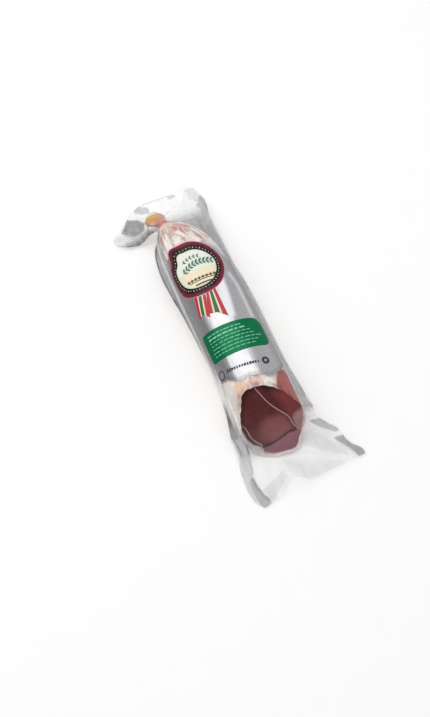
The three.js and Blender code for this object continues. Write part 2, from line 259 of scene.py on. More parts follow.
@dataclass(frozen=True)
class ClearFilm(Finish):
    """Laminated vacuum film, calendered and shrunk on: clear and glossy, with a milky layer laid in its creases, fins
    and flats that is a little real haze and mostly painted shade, painted reflection and painted highlight.
    """

    name: str = "vacuum_film"
    slot: str = "clear_film"
    shade: str = "#8b8b8d"  # painted shade and painted reflection, where the milky layer is greyest
    milky_painted_light: str = "#f6f6f6"  # painted highlight on creases and bright flats, partly the real white of stressed film
    rose: str = "#c98a8e"  # painted reflection of the meat: a rosy highlight on the creases and flats over the cut
    gloss_at_front: float = 0.018  # both faces of a laminate about 0.1 mm thick
    gloss_at_edge: float = 0.75

    def surface(self, tree: NodeTree, place: Socket, uv: Socket) -> Socket:
        """Reads the painted light: "grey" for painted shade and painted reflection with a little real haze, "white"
        for painted highlights and "rose" for painted reflections of the meat.
        """
        grey = put(tree, "ShaderNodeAttribute", out="Fac", attribute_name="grey")
        # wrinkles too fine for the mesh, about 4 mm across the pack and longer along it
        span = put(tree, "ShaderNodeMapping", {"Vector": place, "Scale": (260.0, 90.0, 260.0)})
        noise = put(tree, "ShaderNodeTexNoise", {"Vector": span, "Scale": 1.0, "Detail": 3.0})
        spread = {"Value": noise, "From Min": 0.3, "From Max": 0.7, "To Min": 0.86, "To Max": 1.12}
        swing = put(tree, "ShaderNodeMapRange", spread)
        haze = put(tree, "ShaderNodeMath", {0: grey, 1: swing}, operation="MULTIPLY", use_clamp=True)
        bumpy = put(tree, "ShaderNodeBump", {"Height": noise, "Strength": 0.15, "Distance": 0.0006})
        # painted light in the milky layer: greyer as painted shade, then white painted highlights and rosy painted
        # reflections
        tint = ramp(tree, haze, (0.0, "#e6e6e8"), (0.3, "#c4c4c6"), (0.75, self.shade), (1.0, "#666669"))
        tint = glaze(tree, tint, ("white", 0.0, 1.0, self.milky_painted_light, 1.0), ("rose", 0.0, 1.0, self.rose, 1.0))
        milky_painted_light = put(tree, "ShaderNodeBsdfPrincipled", {"Base Color": tint, "Roughness": 0.3, "Normal": bumpy})
        clear = put(tree, "ShaderNodeBsdfTransparent", {"Color": linear("#ffffff")})
        body = put(tree, "ShaderNodeMixShader", {0: haze, 1: clear, 2: milky_painted_light})
        shine = {"Color": linear("#ffffff"), "Roughness": 0.06, "Normal": bumpy}
        gloss = put(tree, "ShaderNodeBsdfAnisotropic", shine)
        facing = put(tree, "ShaderNodeLayerWeight", {"Blend": 0.5, "Normal": bumpy}, out="Facing")
        steep = put(tree, "ShaderNodeMath", {0: facing, 1: 4.0}, operation="POWER")
        spread = {"Value": steep, "To Min": self.gloss_at_front, "To Max": self.gloss_at_edge}
        return put(tree, "ShaderNodeMixShader", {0: put(tree, "ShaderNodeMapRange", spread), 1: body, 2: gloss})


@dataclass(frozen=True)
class CutMeat(Finish):
    """Cured lean pork, sliced across the grain: deep maroon and moist, darkest at the dried rim, with painted shade
    along its lowest fold.
    """

    name: str = "cured_lean"
    slot: str = "cut_meat"
    rim: str = "#3a0d10"
    lean: str = "#5f1d1e"
    heart: str = "#905052"
    ruddy: str = "#8f4038"
    mottle: str = "#742c2c"
    lip: str = "#a3687a"
    seam: str = "#97595a"

    def surface(self, tree: NodeTree, place: Socket, uv: Socket) -> Socket:
        """Reads "rim", "heart", "ruddy" and "lip"."""
        # muscle bundles about 5 mm across, their seams fine lines of paler fat
        cells = {"Vector": place, "Scale": 95.0, "Randomness": 1.0}
        bundles = put(tree, "ShaderNodeTexVoronoi", cells, out="Distance", feature="DISTANCE_TO_EDGE")
        # fibre ends and flecks of fat, about 1 mm
        grain = {"Vector": place, "Scale": 620.0, "Detail": 4.0, "Roughness": 0.6}
        flecks = put(tree, "ShaderNodeTexNoise", grain)
        clouds = put(tree, "ShaderNodeTexNoise", {"Vector": place, "Scale": 75.0, "Detail": 3.0})
        colour = glaze(
            tree,
            linear(self.lean),
            ("heart", 0.0, 1.0, self.heart, 1.0),
            ("ruddy", 0.0, 1.0, self.ruddy, 0.75),
            (clouds, 0.42, 0.68, self.mottle, 0.4),
            (flecks, 0.60, 0.78, self.seam, 0.22),
            (bundles, 0.035, 0.0, self.seam, 0.2),
            ("rim", 0.0, 1.0, self.rim, 0.95),
            ("lip", 0.0, 1.0, self.lip, 0.9),
        )
        relief = put(tree, "ShaderNodeBump", {"Height": flecks, "Strength": 0.3, "Distance": 0.0004})
        depth = {"Subsurface Weight": 0.12, "Subsurface Radius": (0.004, 0.0015, 0.001)}
        look = {"Base Color": colour, "Roughness": 0.42, **depth, "Normal": relief}
        return put(tree, "ShaderNodeBsdfPrincipled", look)


@dataclass(frozen=True)
class Casing(Finish):
    """Dried collagen casing with a bloom of white mould: matt cream, blushed with the meat under it."""

    name: str = "bloomed_casing"
    slot: str = "casing"
    bloom: str = "#faf4ec"
    thin_bloom: str = "#eedacf"
    skin: str = "#dcb9ab"
    blush: str = "#a94b49"
    peach: str = "#eebb98"
    # painted shade in the creases, the troughs of the gathers and the hollows of the wrinkles
    painted_crease_shade: str = "#5e3a3c"
    tail: str = "#e4a650"
    pink: str = "#e59694"

    def surface(self, tree: NodeTree, place: Socket, uv: Socket) -> Socket:
        """Reads "blush", "peach", "pink" and "tail", and the painted shade of its creases."""
        # patches of bloom about 12 mm across, spots of mould about 2 mm, and dried wrinkles about 3 mm apart with
        # painted shade in their hollows
        wide = {"Vector": place, "Scale": 70.0, "Detail": 5.0, "Roughness": 0.62}
        small = {"Vector": place, "Scale": 430.0, "Detail": 3.0, "Roughness": 0.55}
        drawn = {"Vector": place, "Scale": 210.0, "Detail": 4.0, "Distortion": 1.2}
        patches, spots, wrinkles = (put(tree, "ShaderNodeTexNoise", grain) for grain in (wide, small, drawn))
        colour = glaze(
            tree,
            ramp(tree, patches, (0.38, self.skin), (0.47, self.thin_bloom), (0.56, self.bloom)),
            (spots, 0.62, 0.74, self.blush, 0.25),
            (wrinkles, 0.44, 0.3, self.painted_crease_shade, 0.25),
            ("blush", 0.0, 1.0, self.blush, 0.92),
            ("peach", 0.0, 1.0, self.peach, 0.92),
            ("pink", 0.0, 1.0, self.pink, 0.92),
            ("tail", 0.0, 1.0, self.tail, 0.92),
            ("painted_crease_shade", 0.0, 1.0, self.painted_crease_shade, 0.8),
        )
        relief = put(tree, "ShaderNodeBump", {"Height": wrinkles, "Strength": 0.5, "Distance": 0.0009})
        return put(tree, "ShaderNodeBsdfPrincipled", {"Base Color": colour, "Roughness": 0.62, "Normal": relief})


@dataclass(frozen=True)
class Twine(Finish):
    """Twisted cotton twine, stained pink by the cure."""

    name: str = "cured_twine"
    slot: str = "tie_string"
    light: str = "#eebcb6"
    dark: str = "#b97672"

    def surface(self, tree: NodeTree, place: Socket, uv: Socket) -> Socket:
        """Draws fibres about 0.3 mm thick as fine noise."""
        fibres = put(tree, "ShaderNodeTexNoise", {"Vector": place, "Scale": 1500.0, "Detail": 2.0})
        colour = ramp(tree, fibres, (0.35, self.dark), (0.65, self.light))
        relief = put(tree, "ShaderNodeBump", {"Height": fibres, "Strength": 0.5, "Distance": 0.0003})
        return put(tree, "ShaderNodeBsdfPrincipled", {"Base Color": colour, "Roughness": 0.8, "Normal": relief})


@dataclass(frozen=True)
class PrintInk(Finish):
    """Printing ink on the film: even, a little glossy, with the faint mottle of ink on plastic. Over foil it
    lets the shine of the metal through in its own colour."""

    colour: str
    worn: str
    foil: float = 0.0
    roughness: float = 0.35
    specular: float = 0.15
    coat: tuple[float, float] = (0.25, 0.2)  # its weight and roughness
    mottle: tuple[float, float] = (480.0, 3.0)  # about 2 mm: its scale and detail
    spread: tuple[float, float] = (0.4, 0.72)
    wrinkles: tuple[float, float] = (2.0, 0.2)  # along the pack, about 5 mm apart: their detail and strength

    def surface(self, tree: NodeTree, place: Socket, uv: Socket) -> Socket:
        """Draws the mottle and the wrinkles."""
        scale, detail = self.mottle
        mottle = put(tree, "ShaderNodeTexNoise", {"Vector": place, "Scale": scale, "Detail": detail})
        colour = ramp(tree, mottle, (self.spread[0], self.colour), (self.spread[1], self.worn))
        span = put(tree, "ShaderNodeMapping", {"Vector": place, "Scale": (230.0, 34.0, 230.0)})
        detail, strength = self.wrinkles
        drawn = put(tree, "ShaderNodeTexNoise", {"Vector": span, "Scale": 1.0, "Detail": detail})
        relief = put(tree, "ShaderNodeBump", {"Height": drawn, "Strength": strength, "Distance": 0.0008})
        metal = {"Metallic": self.foil, "Roughness": self.roughness, "Specular IOR Level": self.specular}
        coat = {"Coat Weight": self.coat[0], "Coat Roughness": self.coat[1]}
        return put(tree, "ShaderNodeBsdfPrincipled", {"Base Color": colour, **metal, **coat, "Normal": relief})


@dataclass(frozen=True)
class SilverInk(PrintInk):
    """Metallic silver ink on shrunk film: bright where it faces the light, with long soft wrinkles."""

    name: str = "silver_ink"
    slot: str = "silver_ink"
    colour: str = "#dcdcdf"
    worn: str = "#f2f2f3"
    foil: float = 0.93
    roughness: float = 0.28
    specular: float = 0.5
    coat: tuple[float, float] = (0.2, 0.06)
    mottle: tuple[float, float] = (900.0, 2.0)
    spread: tuple[float, float] = (0.3, 0.6)
    wrinkles: tuple[float, float] = (2.5, 0.3)
    # the white of the painted highlight
    milky_painted_light: str = "#f4f4f6"

    def surface(self, tree: NodeTree, place: Socket, uv: Socket) -> Socket:
        """Turns white by "glare", a painted highlight, and breaks up and thins out towards the near end of its map."""
        glare = put(tree, "ShaderNodeAttribute", out="Fac", attribute_name="glare")
        milky_painted_light = put(tree, "ShaderNodeBsdfDiffuse", {"Color": linear(self.milky_painted_light)})
        lit = put(tree, "ShaderNodeMixShader", {0: glare, 1: super().surface(tree, place, uv), 2: milky_painted_light})
        along = put(tree, "ShaderNodeSeparateXYZ", {0: uv}, out="Y")
        specks = put(tree, "ShaderNodeTexNoise", {"Vector": place, "Scale": 330.0, "Detail": 2.0})
        ragged = put(tree, "ShaderNodeMath", {0: specks, 1: 0.05, 2: along}, operation="MULTIPLY_ADD")
        cover = put(tree, "ShaderNodeMapRange", {"Value": ragged, "From Min": -0.985, "From Max": -0.9})
        return put(tree, "ShaderNodeMixShader", {0: cover, 1: put(tree, "ShaderNodeBsdfTransparent"), 2: lit})


@dataclass(frozen=True)
class RibbonInk(Finish):
    """A printed ribbon: a red border, cream inside it and a green stripe down the middle."""

    name: str = "ribbon_ink"
    slot: str = "red_ink"
    edge: str = "#e06a70"
    border: str = "#c4202e"
    inside: str = "#f0dfc4"
    stripe: str = "#2f6b3c"

    def surface(self, tree: NodeTree, place: Socket, uv: Socket) -> Socket:
        """Stripes the ribbon by its map, which runs from -1 to 1 across."""
        across = put(tree, "ShaderNodeMath", {0: put(tree, "ShaderNodeSeparateXYZ", {0: uv})}, operation="ABSOLUTE")
        tones = (self.stripe, self.inside, self.inside, self.border, self.border, self.edge)
        colour = ramp(tree, across, *zip((0.24, 0.28, 0.46, 0.5, 0.92, 0.98), tones))
        look = {"Base Color": colour, "Roughness": 0.4, "Coat Weight": 0.25, "Coat Roughness": 0.2}
        return put(tree, "ShaderNodeBsdfPrincipled", look)


@dataclass(frozen=True)
class LitAcrylic(Finish):
    """Matt white acrylic, lit a little from below. To reflected rays it shows a painted reflection instead, a grey
    that is darker on the left, standing in for black cloth outside the picture."""

    name: str = "lit_white_acrylic"
    slot: str = ""

    def surface(self, tree: NodeTree, place: Socket, uv: Socket) -> Socket:
        """Mixes the floor and its painted reflection by what looks at them."""
        tooth = put(tree, "ShaderNodeTexNoise", {"Vector": place, "Scale": 40.0})
        colour = ramp(tree, tooth, (0.3, "#f3f3f3"), (0.7, "#f4f4f4"))
        glow = {"Emission Color": linear("#ffffff"), "Emission Strength": 0.16}
        look = {"Base Color": colour, "Roughness": 0.9, "Specular IOR Level": 0.1, **glow}
        paint = put(tree, "ShaderNodeBsdfPrincipled", look)
        across = put(tree, "ShaderNodeSeparateXYZ", {0: place})
        side = put(tree, "ShaderNodeMapRange", {"Value": across, "From Min": -0.2, "From Max": 0.2})
        # painted reflection: the grey that reflected rays see in place of the floor
        painted_reflection_grey = ramp(tree, side, (0.0, "#78787a"), (1.0, "#a4a4a6"))
        mirrored = put(tree, "ShaderNodeEmission", {"Color": painted_reflection_grey, "Strength": 1.0})
        ray = put(tree, "ShaderNodeLightPath", out="Is Glossy Ray")
        return put(tree, "ShaderNodeMixShader", {0: ray, 1: paint, 2: mirrored})


# ---- Meshes


def grid_faces(rows: int, cols: int, start: int = 0, closed: bool = False) -> Array:
    """The four-sided faces of a grid of points, numbered by rows; a closed one joins its last column to its first."""
    r, c = np.meshgrid(np.arange(rows - 1), np.arange(cols if closed else cols - 1), indexing="ij")
    a, b = (start + r * cols + c).ravel(), (start + r * cols + (c + 1) % cols).ravel()
    return np.stack([a, b, b + cols, a + cols], 1)


def slab_faces(rows: int, cols: int, closed: bool = False) -> Array:
    """The faces of a closed slab between two grids, upper first, with a wall along every open edge."""
    count = rows * cols
    near, far = np.arange(cols), (rows - 1) * cols + np.arange(cols)
    if closed:
        rims = [(near, np.roll(near, -1)), (np.roll(far, -1), far)]
    else:
        up = np.arange(rows) * cols
        rim = np.concatenate([near[:-1], (up + cols - 1)[:-1], far[:0:-1], up[:0:-1]])
        rims = [(rim, np.roll(rim, -1))]
    walls = [np.stack([a + count, b + count, b, a], 1) for a, b in rims]
    bottom = grid_faces(rows, cols, count, closed)[:, ::-1]
    return np.concatenate([grid_faces(rows, cols, 0, closed), bottom, *walls])


def write_values(mesh: bpy.types.Mesh, values: dict[str, Any]) -> None:
    """Gives a mesh named numbers or vectors for each vertex, which the finishes and the trees read."""
    for key, value in values.items():
        data = np.asarray(value, np.float32)
        is_vector = data.ndim == 2
        layer = mesh.attributes.new(key, "FLOAT_VECTOR" if is_vector else "FLOAT", "POINT")
        layer.data.foreach_set("vector" if is_vector else "value", data.ravel())


def make_mesh(
    name: str, points: Array, faces: Iterable[Sequence[int]], values: dict[str, Array] | None = None,
    uv: Array | None = None,
) -> bpy.types.Mesh:  # fmt: skip
    """A smooth-shaded mesh from points in millimetres.

    Args:
        name: the mesh's name.
        points: one row for each vertex.
        faces: vertex numbers, anticlockwise seen from outside.
        values: numbers for each vertex, which the finishes read by name.
        uv: two numbers for each vertex.

    Returns:
        The mesh, in metres.
    """
    mesh = bpy.data.meshes.new(name)
    mesh.from_pydata((np.asarray(points, float) * MM).tolist(), [], [list(map(int, face)) for face in faces])
    mesh.shade_smooth()
    write_values(mesh, values or {})
    if uv is not None:
        corners = np.zeros(len(mesh.loops), np.int32)
        mesh.loops.foreach_get("vertex_index", corners)
        layer = mesh.uv_layers.new(name="UVMap")
        layer.data.foreach_set("uv", np.asarray(uv, np.float32).reshape(-1, 2)[corners].ravel())
    mesh.update()
    return mesh


def reshape(mesh: bpy.types.Mesh, move: Callable[[Array], Array]) -> bpy.types.Mesh:
    """Moves a mesh's vertices by a function of their places in millimetres, and turns it into metres."""
    places = np.zeros(len(mesh.vertices) * 3)
    mesh.vertices.foreach_get("co", places)
    mesh.vertices.foreach_set("co", (move(places.reshape(-1, 3)) * MM).ravel())
    mesh.update()
    return mesh


def make_piece(name: str, mesh: bpy.types.Mesh, finish: Finish, stands_for: Sequence[str] = ()) -> None:
    """Makes an object at the origin that rides on the pack.

    Args:
        name: the piece's name.
        mesh: its finished mesh.
        finish: what it is made of.
        stands_for: the frame's nodes that it replaces.
    """
    piece = bpy.data.objects.new(name, mesh)
    bpy.context.scene.collection.objects.link(piece)
    if not mesh.materials:
        mesh.materials.append(finish.build())
    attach(piece, "root")
    if stands_for:
        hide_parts(*stands_for)
    LOG.info("%s: %d faces", name, len(mesh.polygons))


# ---- Geometry Nodes


class MarkShape(Enum):
    """The outline of a small printed mark."""

    BEAD = "bead"
    BAR = "bar"
    LOZENGE = "lozenge"
    LEAF = "leaf"


class Tree:
    """A Geometry Nodes tree with named inputs, which ends in real geometry with its finish."""

    def __init__(self, name: str, inputs: dict[str, str]) -> None:
        """Starts the tree with a geometry in and out and its inputs, each with its kind of socket."""
        self.tree = bpy.data.node_groups.new(name, "GeometryNodeTree")
        self.tree.interface.new_socket(name="Geometry", in_out="OUTPUT", socket_type="NodeSocketGeometry")
        for key, kind in {"Geometry": "Geometry", **inputs, "Finish": "Material"}.items():
            self.tree.interface.new_socket(name=key, in_out="INPUT", socket_type="NodeSocket" + kind)
        self.given = put(self.tree, "NodeGroupInput").node.outputs

    def end(self, geometry: Socket) -> "Tree":
        """Ends the tree."""
        real = put(self.tree, "GeometryNodeRealizeInstances", {"Geometry": geometry})
        dressed = put(self.tree, "GeometryNodeSetMaterial", {"Geometry": real, "Material": self.given["Finish"]})
        put(self.tree, "NodeGroupOutput", {"Geometry": dressed})
        return self

    def read(self, name: str, kind: str) -> Socket:
        """The output that reads a named value of the points."""
        node = put(self.tree, "GeometryNodeInputNamedAttribute", {"Name": name}, data_type=kind).node
        return next(out for out in node.outputs if out.enabled and out.name == "Attribute")

    def grow(self, points: Array, edges: Sequence[tuple[int, int]], values: dict[str, Any], **given: Any) -> Any:
        """Runs the tree and returns the plain mesh that it makes.

        Args:
            points: the points it works on.
            edges: the lines between them.
            values: the points' named values.
            given: the tree's inputs by name.

        Returns:
            The mesh, with its finish.
        """
        host = bpy.data.meshes.new("host")
        host.from_pydata(np.asarray(points, float).tolist(), edges, [])
        write_values(host, values)
        carrier = bpy.data.objects.new("carrier", host)
        bpy.context.scene.collection.objects.link(carrier)
        modifier = carrier.modifiers.new("tree", "NODES")
        modifier.node_group = self.tree
        for item in self.tree.interface.items_tree:
            if item.in_out == "INPUT" and item.name in given:
                modifier[item.identifier] = given[item.name]
        graph = bpy.context.evaluated_depsgraph_get()
        graph.update()
        made = bpy.data.meshes.new_from_object(carrier.evaluated_get(graph))
        bpy.data.objects.remove(carrier)
        bpy.data.meshes.remove(host)
        return made


@cache
def marks_tree(shape: MarkShape) -> Tree:
    """Sets one flat mark on each point, turned and sized by the point's values "turn" and "size"."""
    made = Tree("marks_" + shape.value, {"Thickness": "Float"})
    tree = made.tree
    if shape in (MarkShape.BEAD, MarkShape.LOZENGE):
        sides = 14 if shape is MarkShape.BEAD else 4
        outline = put(tree, "GeometryNodeMeshCylinder", {"Vertices": sides, "Radius": 0.5, "Depth": 1.0})
    else:
        across = 5 if shape is MarkShape.LEAF else 2
        counts = {"Size": (1.0, 1.0, 1.0), "Vertices X": 7, "Vertices Y": across}
        outline = put(tree, "GeometryNodeMeshCube", counts)
    if shape is MarkShape.LEAF:
        parts = put(tree, "ShaderNodeSeparateXYZ", {0: put(tree, "GeometryNodeInputPosition")}).node.outputs
        twice = put(tree, "ShaderNodeMath", {0: parts["X"], 1: 2.0}, operation="MULTIPLY")
        square = put(tree, "ShaderNodeMath", {0: twice, 1: 2.0}, operation="POWER")
        share = put(tree, "ShaderNodeMath", {0: 1.04, 1: square}, operation="SUBTRACT")
        narrow = put(tree, "ShaderNodeMath", {0: parts["Y"], 1: share}, operation="MULTIPLY")
        moved = put(tree, "ShaderNodeCombineXYZ", {"X": parts["X"], "Y": narrow, "Z": parts["Z"]})
        outline = put(tree, "GeometryNodeSetPosition", {"Geometry": outline, "Position": moved})
    flat = put(tree, "ShaderNodeCombineXYZ", {"X": 1.0, "Y": 1.0, "Z": made.given["Thickness"]})
    size = put(tree, "ShaderNodeVectorMath", {0: made.read("size", "FLOAT_VECTOR"), 1: flat}, operation="MULTIPLY")
    turn = put(tree, "FunctionNodeEulerToRotation", {0: made.read("turn", "FLOAT_VECTOR")})
    links = {"Points": made.given["Geometry"], "Instance": outline, "Rotation": turn, "Scale": size}
    return made.end(put(tree, "GeometryNodeInstanceOnPoints", links))


@cache
def sweep_tree() -> Tree:
    """Draws an oval section along each line of edges, scaled by the points' value "reach"."""
    made = Tree("sweep", {"Width": "Float", "Height": "Float", "Sides": "Int"})
    tree, given = made.tree, made.given
    lines = put(tree, "GeometryNodeMeshToCurve", {"Mesh": given["Geometry"]})
    reach = made.read("reach", "FLOAT")
    sized = put(tree, "GeometryNodeSetCurveRadius", {"Curve": lines, "Radius": reach})
    ring = put(tree, "GeometryNodeCurvePrimitiveCircle", {"Resolution": given["Sides"], "Radius": 0.5})
    oval = put(tree, "ShaderNodeCombineXYZ", {"X": given["Width"], "Y": given["Height"], "Z": 1.0})
    section = put(tree, "GeometryNodeTransform", {"Geometry": ring, "Scale": oval})
    swept = put(tree, "GeometryNodeCurveToMesh", {"Curve": sized, "Profile Curve": section, "Fill Caps": True})
    if "Scale" in swept.node.inputs:
        tree.links.new(reach, swept.node.inputs["Scale"])
    return made.end(put(tree, "GeometryNodeSetShadeSmooth", {0: swept}))


def sweep(
    name: str, lines: Sequence[Array], reach: Sequence[Array], size: tuple[float, float], sides: int, finish: Finish,
    values: dict[str, float] | None = None,
) -> None:  # fmt: skip
    """Makes a piece of tubes along lines.

    Args:
        name: the piece's name.
        lines: each line's points in millimetres.
        reach: the share of the section at each of them.
        size: the section's width and height.
        sides: how many sides it has.
        finish: what the tubes are made of.
        values: numbers that the finish reads, the same all over.
    """
    starts = np.cumsum([0, *map(len, lines)])
    edges = [(int(a) + i, int(a) + i + 1) for a, line in zip(starts, lines) for i in range(len(line) - 1)]
    given = {"Width": size[0], "Height": size[1], "Sides": sides, "Finish": finish.build()}
    mesh = sweep_tree().grow(np.concatenate(lines), edges, {"reach": np.concatenate(reach)}, **given)
    reshape(mesh, lambda places: places)
    write_values(mesh, {key: np.full(len(mesh.vertices), value) for key, value in (values or {}).items()})
    make_piece(name, mesh, finish)


# ---- The pack's form


@dataclass(frozen=True)
class Pinch:
    """A corner of the bag where the film is drawn together, with the folds that fan out from it."""

    x: float
    y: float
    side: int
    folds: int
    phase: float
    height: float

    def height_at(self, x: Array, y: Array) -> Array:
        """The folds' height over x, y: even waves, and sharper creases between them."""
        out = (x - self.x) * self.side
        turn = np.arctan2(y - self.y, out)
        away = np.hypot(x - self.x, y - self.y)
        reach = ease(6, 34, away) * ease(0, 14, out)
        waves = self.height * np.sin(self.folds * turn + self.phase)
        sharp = np.abs(np.sin(self.folds * 1.5 * turn + 2 * self.phase)) - 0.6
        fine = np.abs(np.sin(self.folds * 3.7 * turn + self.phase)) - 0.6
        return reach * (waves - 1.3 * sharp - 0.4 * fine)


@dataclass(frozen=True)
class Fold:
    """A crease in the film: a ridge along a line, and the painted shade and painted reflection that grey the film
    beside it.
    """

    path: tuple[tuple[float, float], ...]
    width: float
    height: float
    grey: float
    shift: float = 0.0

    def at(self, x: Array, y: Array) -> tuple[Array, Array]:
        """The ridge's height and the painted grey over x, y."""
        away, along = line_distance(x, y, self.path)
        taper = ease(0, 0.12, along) * ease(1, 0.88, along)
        ridge = self.height * np.exp(-((np.abs(away) / self.width) ** 1.4)) * taper
        grey = self.grey * np.exp(-((np.abs(away - self.shift) / self.width) ** 3)) * mix(0.35, 1, taper)
        return ridge, grey


@dataclass(frozen=True)
class Facet:
    """An outline, and the painted light laid inside it on the film: grey for painted shade and painted reflection,
    white for a painted highlight and rose for a painted reflection of the meat. The casing's patches use only its
    outline.
    """

    grey: float
    corners: tuple[tuple[float, float], ...]
    white: float = 0.0
    rose: float = 0.0
    soft: float = 0.8

    def at(self, x: Array, y: Array) -> Array:
        """1 inside the outline and 0 outside it, with a soft step between."""
        closed = (*self.corners, self.corners[0])
        inside = np.zeros(np.shape(x), bool)
        for (ax, ay), (bx, by) in zip(closed, closed[1:]):
            if ay != by:
                inside ^= ((ay > y) != (by > y)) & (x < ax + (y - ay) * (bx - ax) / (by - ay))
        away = np.abs(line_distance(x, y, closed)[0])
        return ease(-self.soft, self.soft, np.where(inside, away, -away))


# creases in the film, each with painted shade and painted reflection greying the film beside it
FOLDS = (
    # the near skirt, from its left edge round to its right corner
    Fold(((-43.2, -79), (-43.4, -90), (-42.2, -99), (-41.2, -110), (-41.4, -123)), 1.3, 0.8, 0.6),
    Fold(((-35.5, -84), (-36.2, -96), (-35.6, -106), (-34.6, -116), (-34.9, -124)), 1.2, 1.2, 0.75),
    Fold(((-36, -123), (-38.2, -136), (-41, -141)), 1.4, 1.0, 0.4),
    Fold(((-41, -141), (-40.8, -153), (-38, -163), (-34, -171)), 1.3, 1.6, 0.6),
    Fold(((-24, -132), (-30, -150), (-33, -168)), 2.0, 1.0, 0.0),
    Fold(((30, -116.5), (41, -118), (48, -127), (56, -135)), 1.6, 1.4, 0.0),
    Fold(((46, -139.5), (57.6, -140.4), (62, -150.7), (70, -163)), 1.8, 1.4, 0.0),
    Fold(((-8, -133), (12, -143), (42, -157)), 3.2, 2.0, 0.0),
    Fold(((34, -110), (36, -102), (38, -92)), 2.2, 1.0, 0.3),
    # the far skirt
    Fold(((-49, 164), (-40, 160), (-28, 158)), 6.5, 1.2, 0.0),
    Fold(((-47, 170.5), (-34, 171.5), (-18, 172)), 2.6, 1.0, 0.0),
    Fold(((-62, 150), (-46, 143), (-30, 138), (-19, 138)), 3.2, 1.6, 0.0),
    Fold(((40, 171), (35, 156), (33, 138), (31, 122)), 3.6, 1.6, 0.0),
    Fold(((10, 150), (18, 160), (24, 170)), 2.4, 1.4, 0.1),
    # the right fin beside the shoulder, and by the rosette
    Fold(((26, 126), (27, 112), (27.5, 92), (28, 72)), 4.0, 1.2, 0.5),
    Fold(((33, 84), (31.5, 70), (34, 56)), 2.2, 1.4, 0.0),
    Fold(((6, 112), (8, 102), (12.5, 92.5), (15.5, 85)), 0.8, 0.5, 0.45),
    Fold(((-14, 128), (-8, 118), (-3, 108), (1, 98)), 0.7, 0.6, 0.4),
    Fold(((-8, 131), (4, 120), (12, 108), (17, 96)), 0.7, 0.6, 0.45),
    Fold(((-2, 132), (12, 120), (20, 104), (23, 90)), 0.8, 0.6, 0.5),
    Fold(((-19, 125), (-18.5, 112), (-20, 100)), 0.7, 0.6, 0.35),
    Fold(((-7.9, 104.8), (-6, 99)), 0.8, 0.5, 0.5),
    # the lines of painted shade inside the left fin and along the right one
    Fold(((-29.4, 96), (-30.6, 84), (-31.2, 66), (-31.4, 40), (-31.8, 10), (-32.2, -20), (-32.2, -44)), 0.9, 0.3, 0.9),
    Fold(((-38.4, 84), (-38.6, 64), (-37, 40), (-35.8, 14)), 0.8, 0.3, 0.85),
    Fold(((29.5, 50), (31.5, 30), (32, 4), (32.2, -24), (32, -50)), 0.7, 0.3, 0.7),
    # the left fin beside the shoulder
    Fold(((-26, 131), (-27.5, 124), (-31, 118), (-35, 110), (-38.5, 101), (-39.8, 92)), 1.3, 1.0, 0.9),
    Fold(((-28.2, 111.4), (-30.5, 104.9), (-31.9, 94.9)), 1.6, 1.0, 0.7),
)
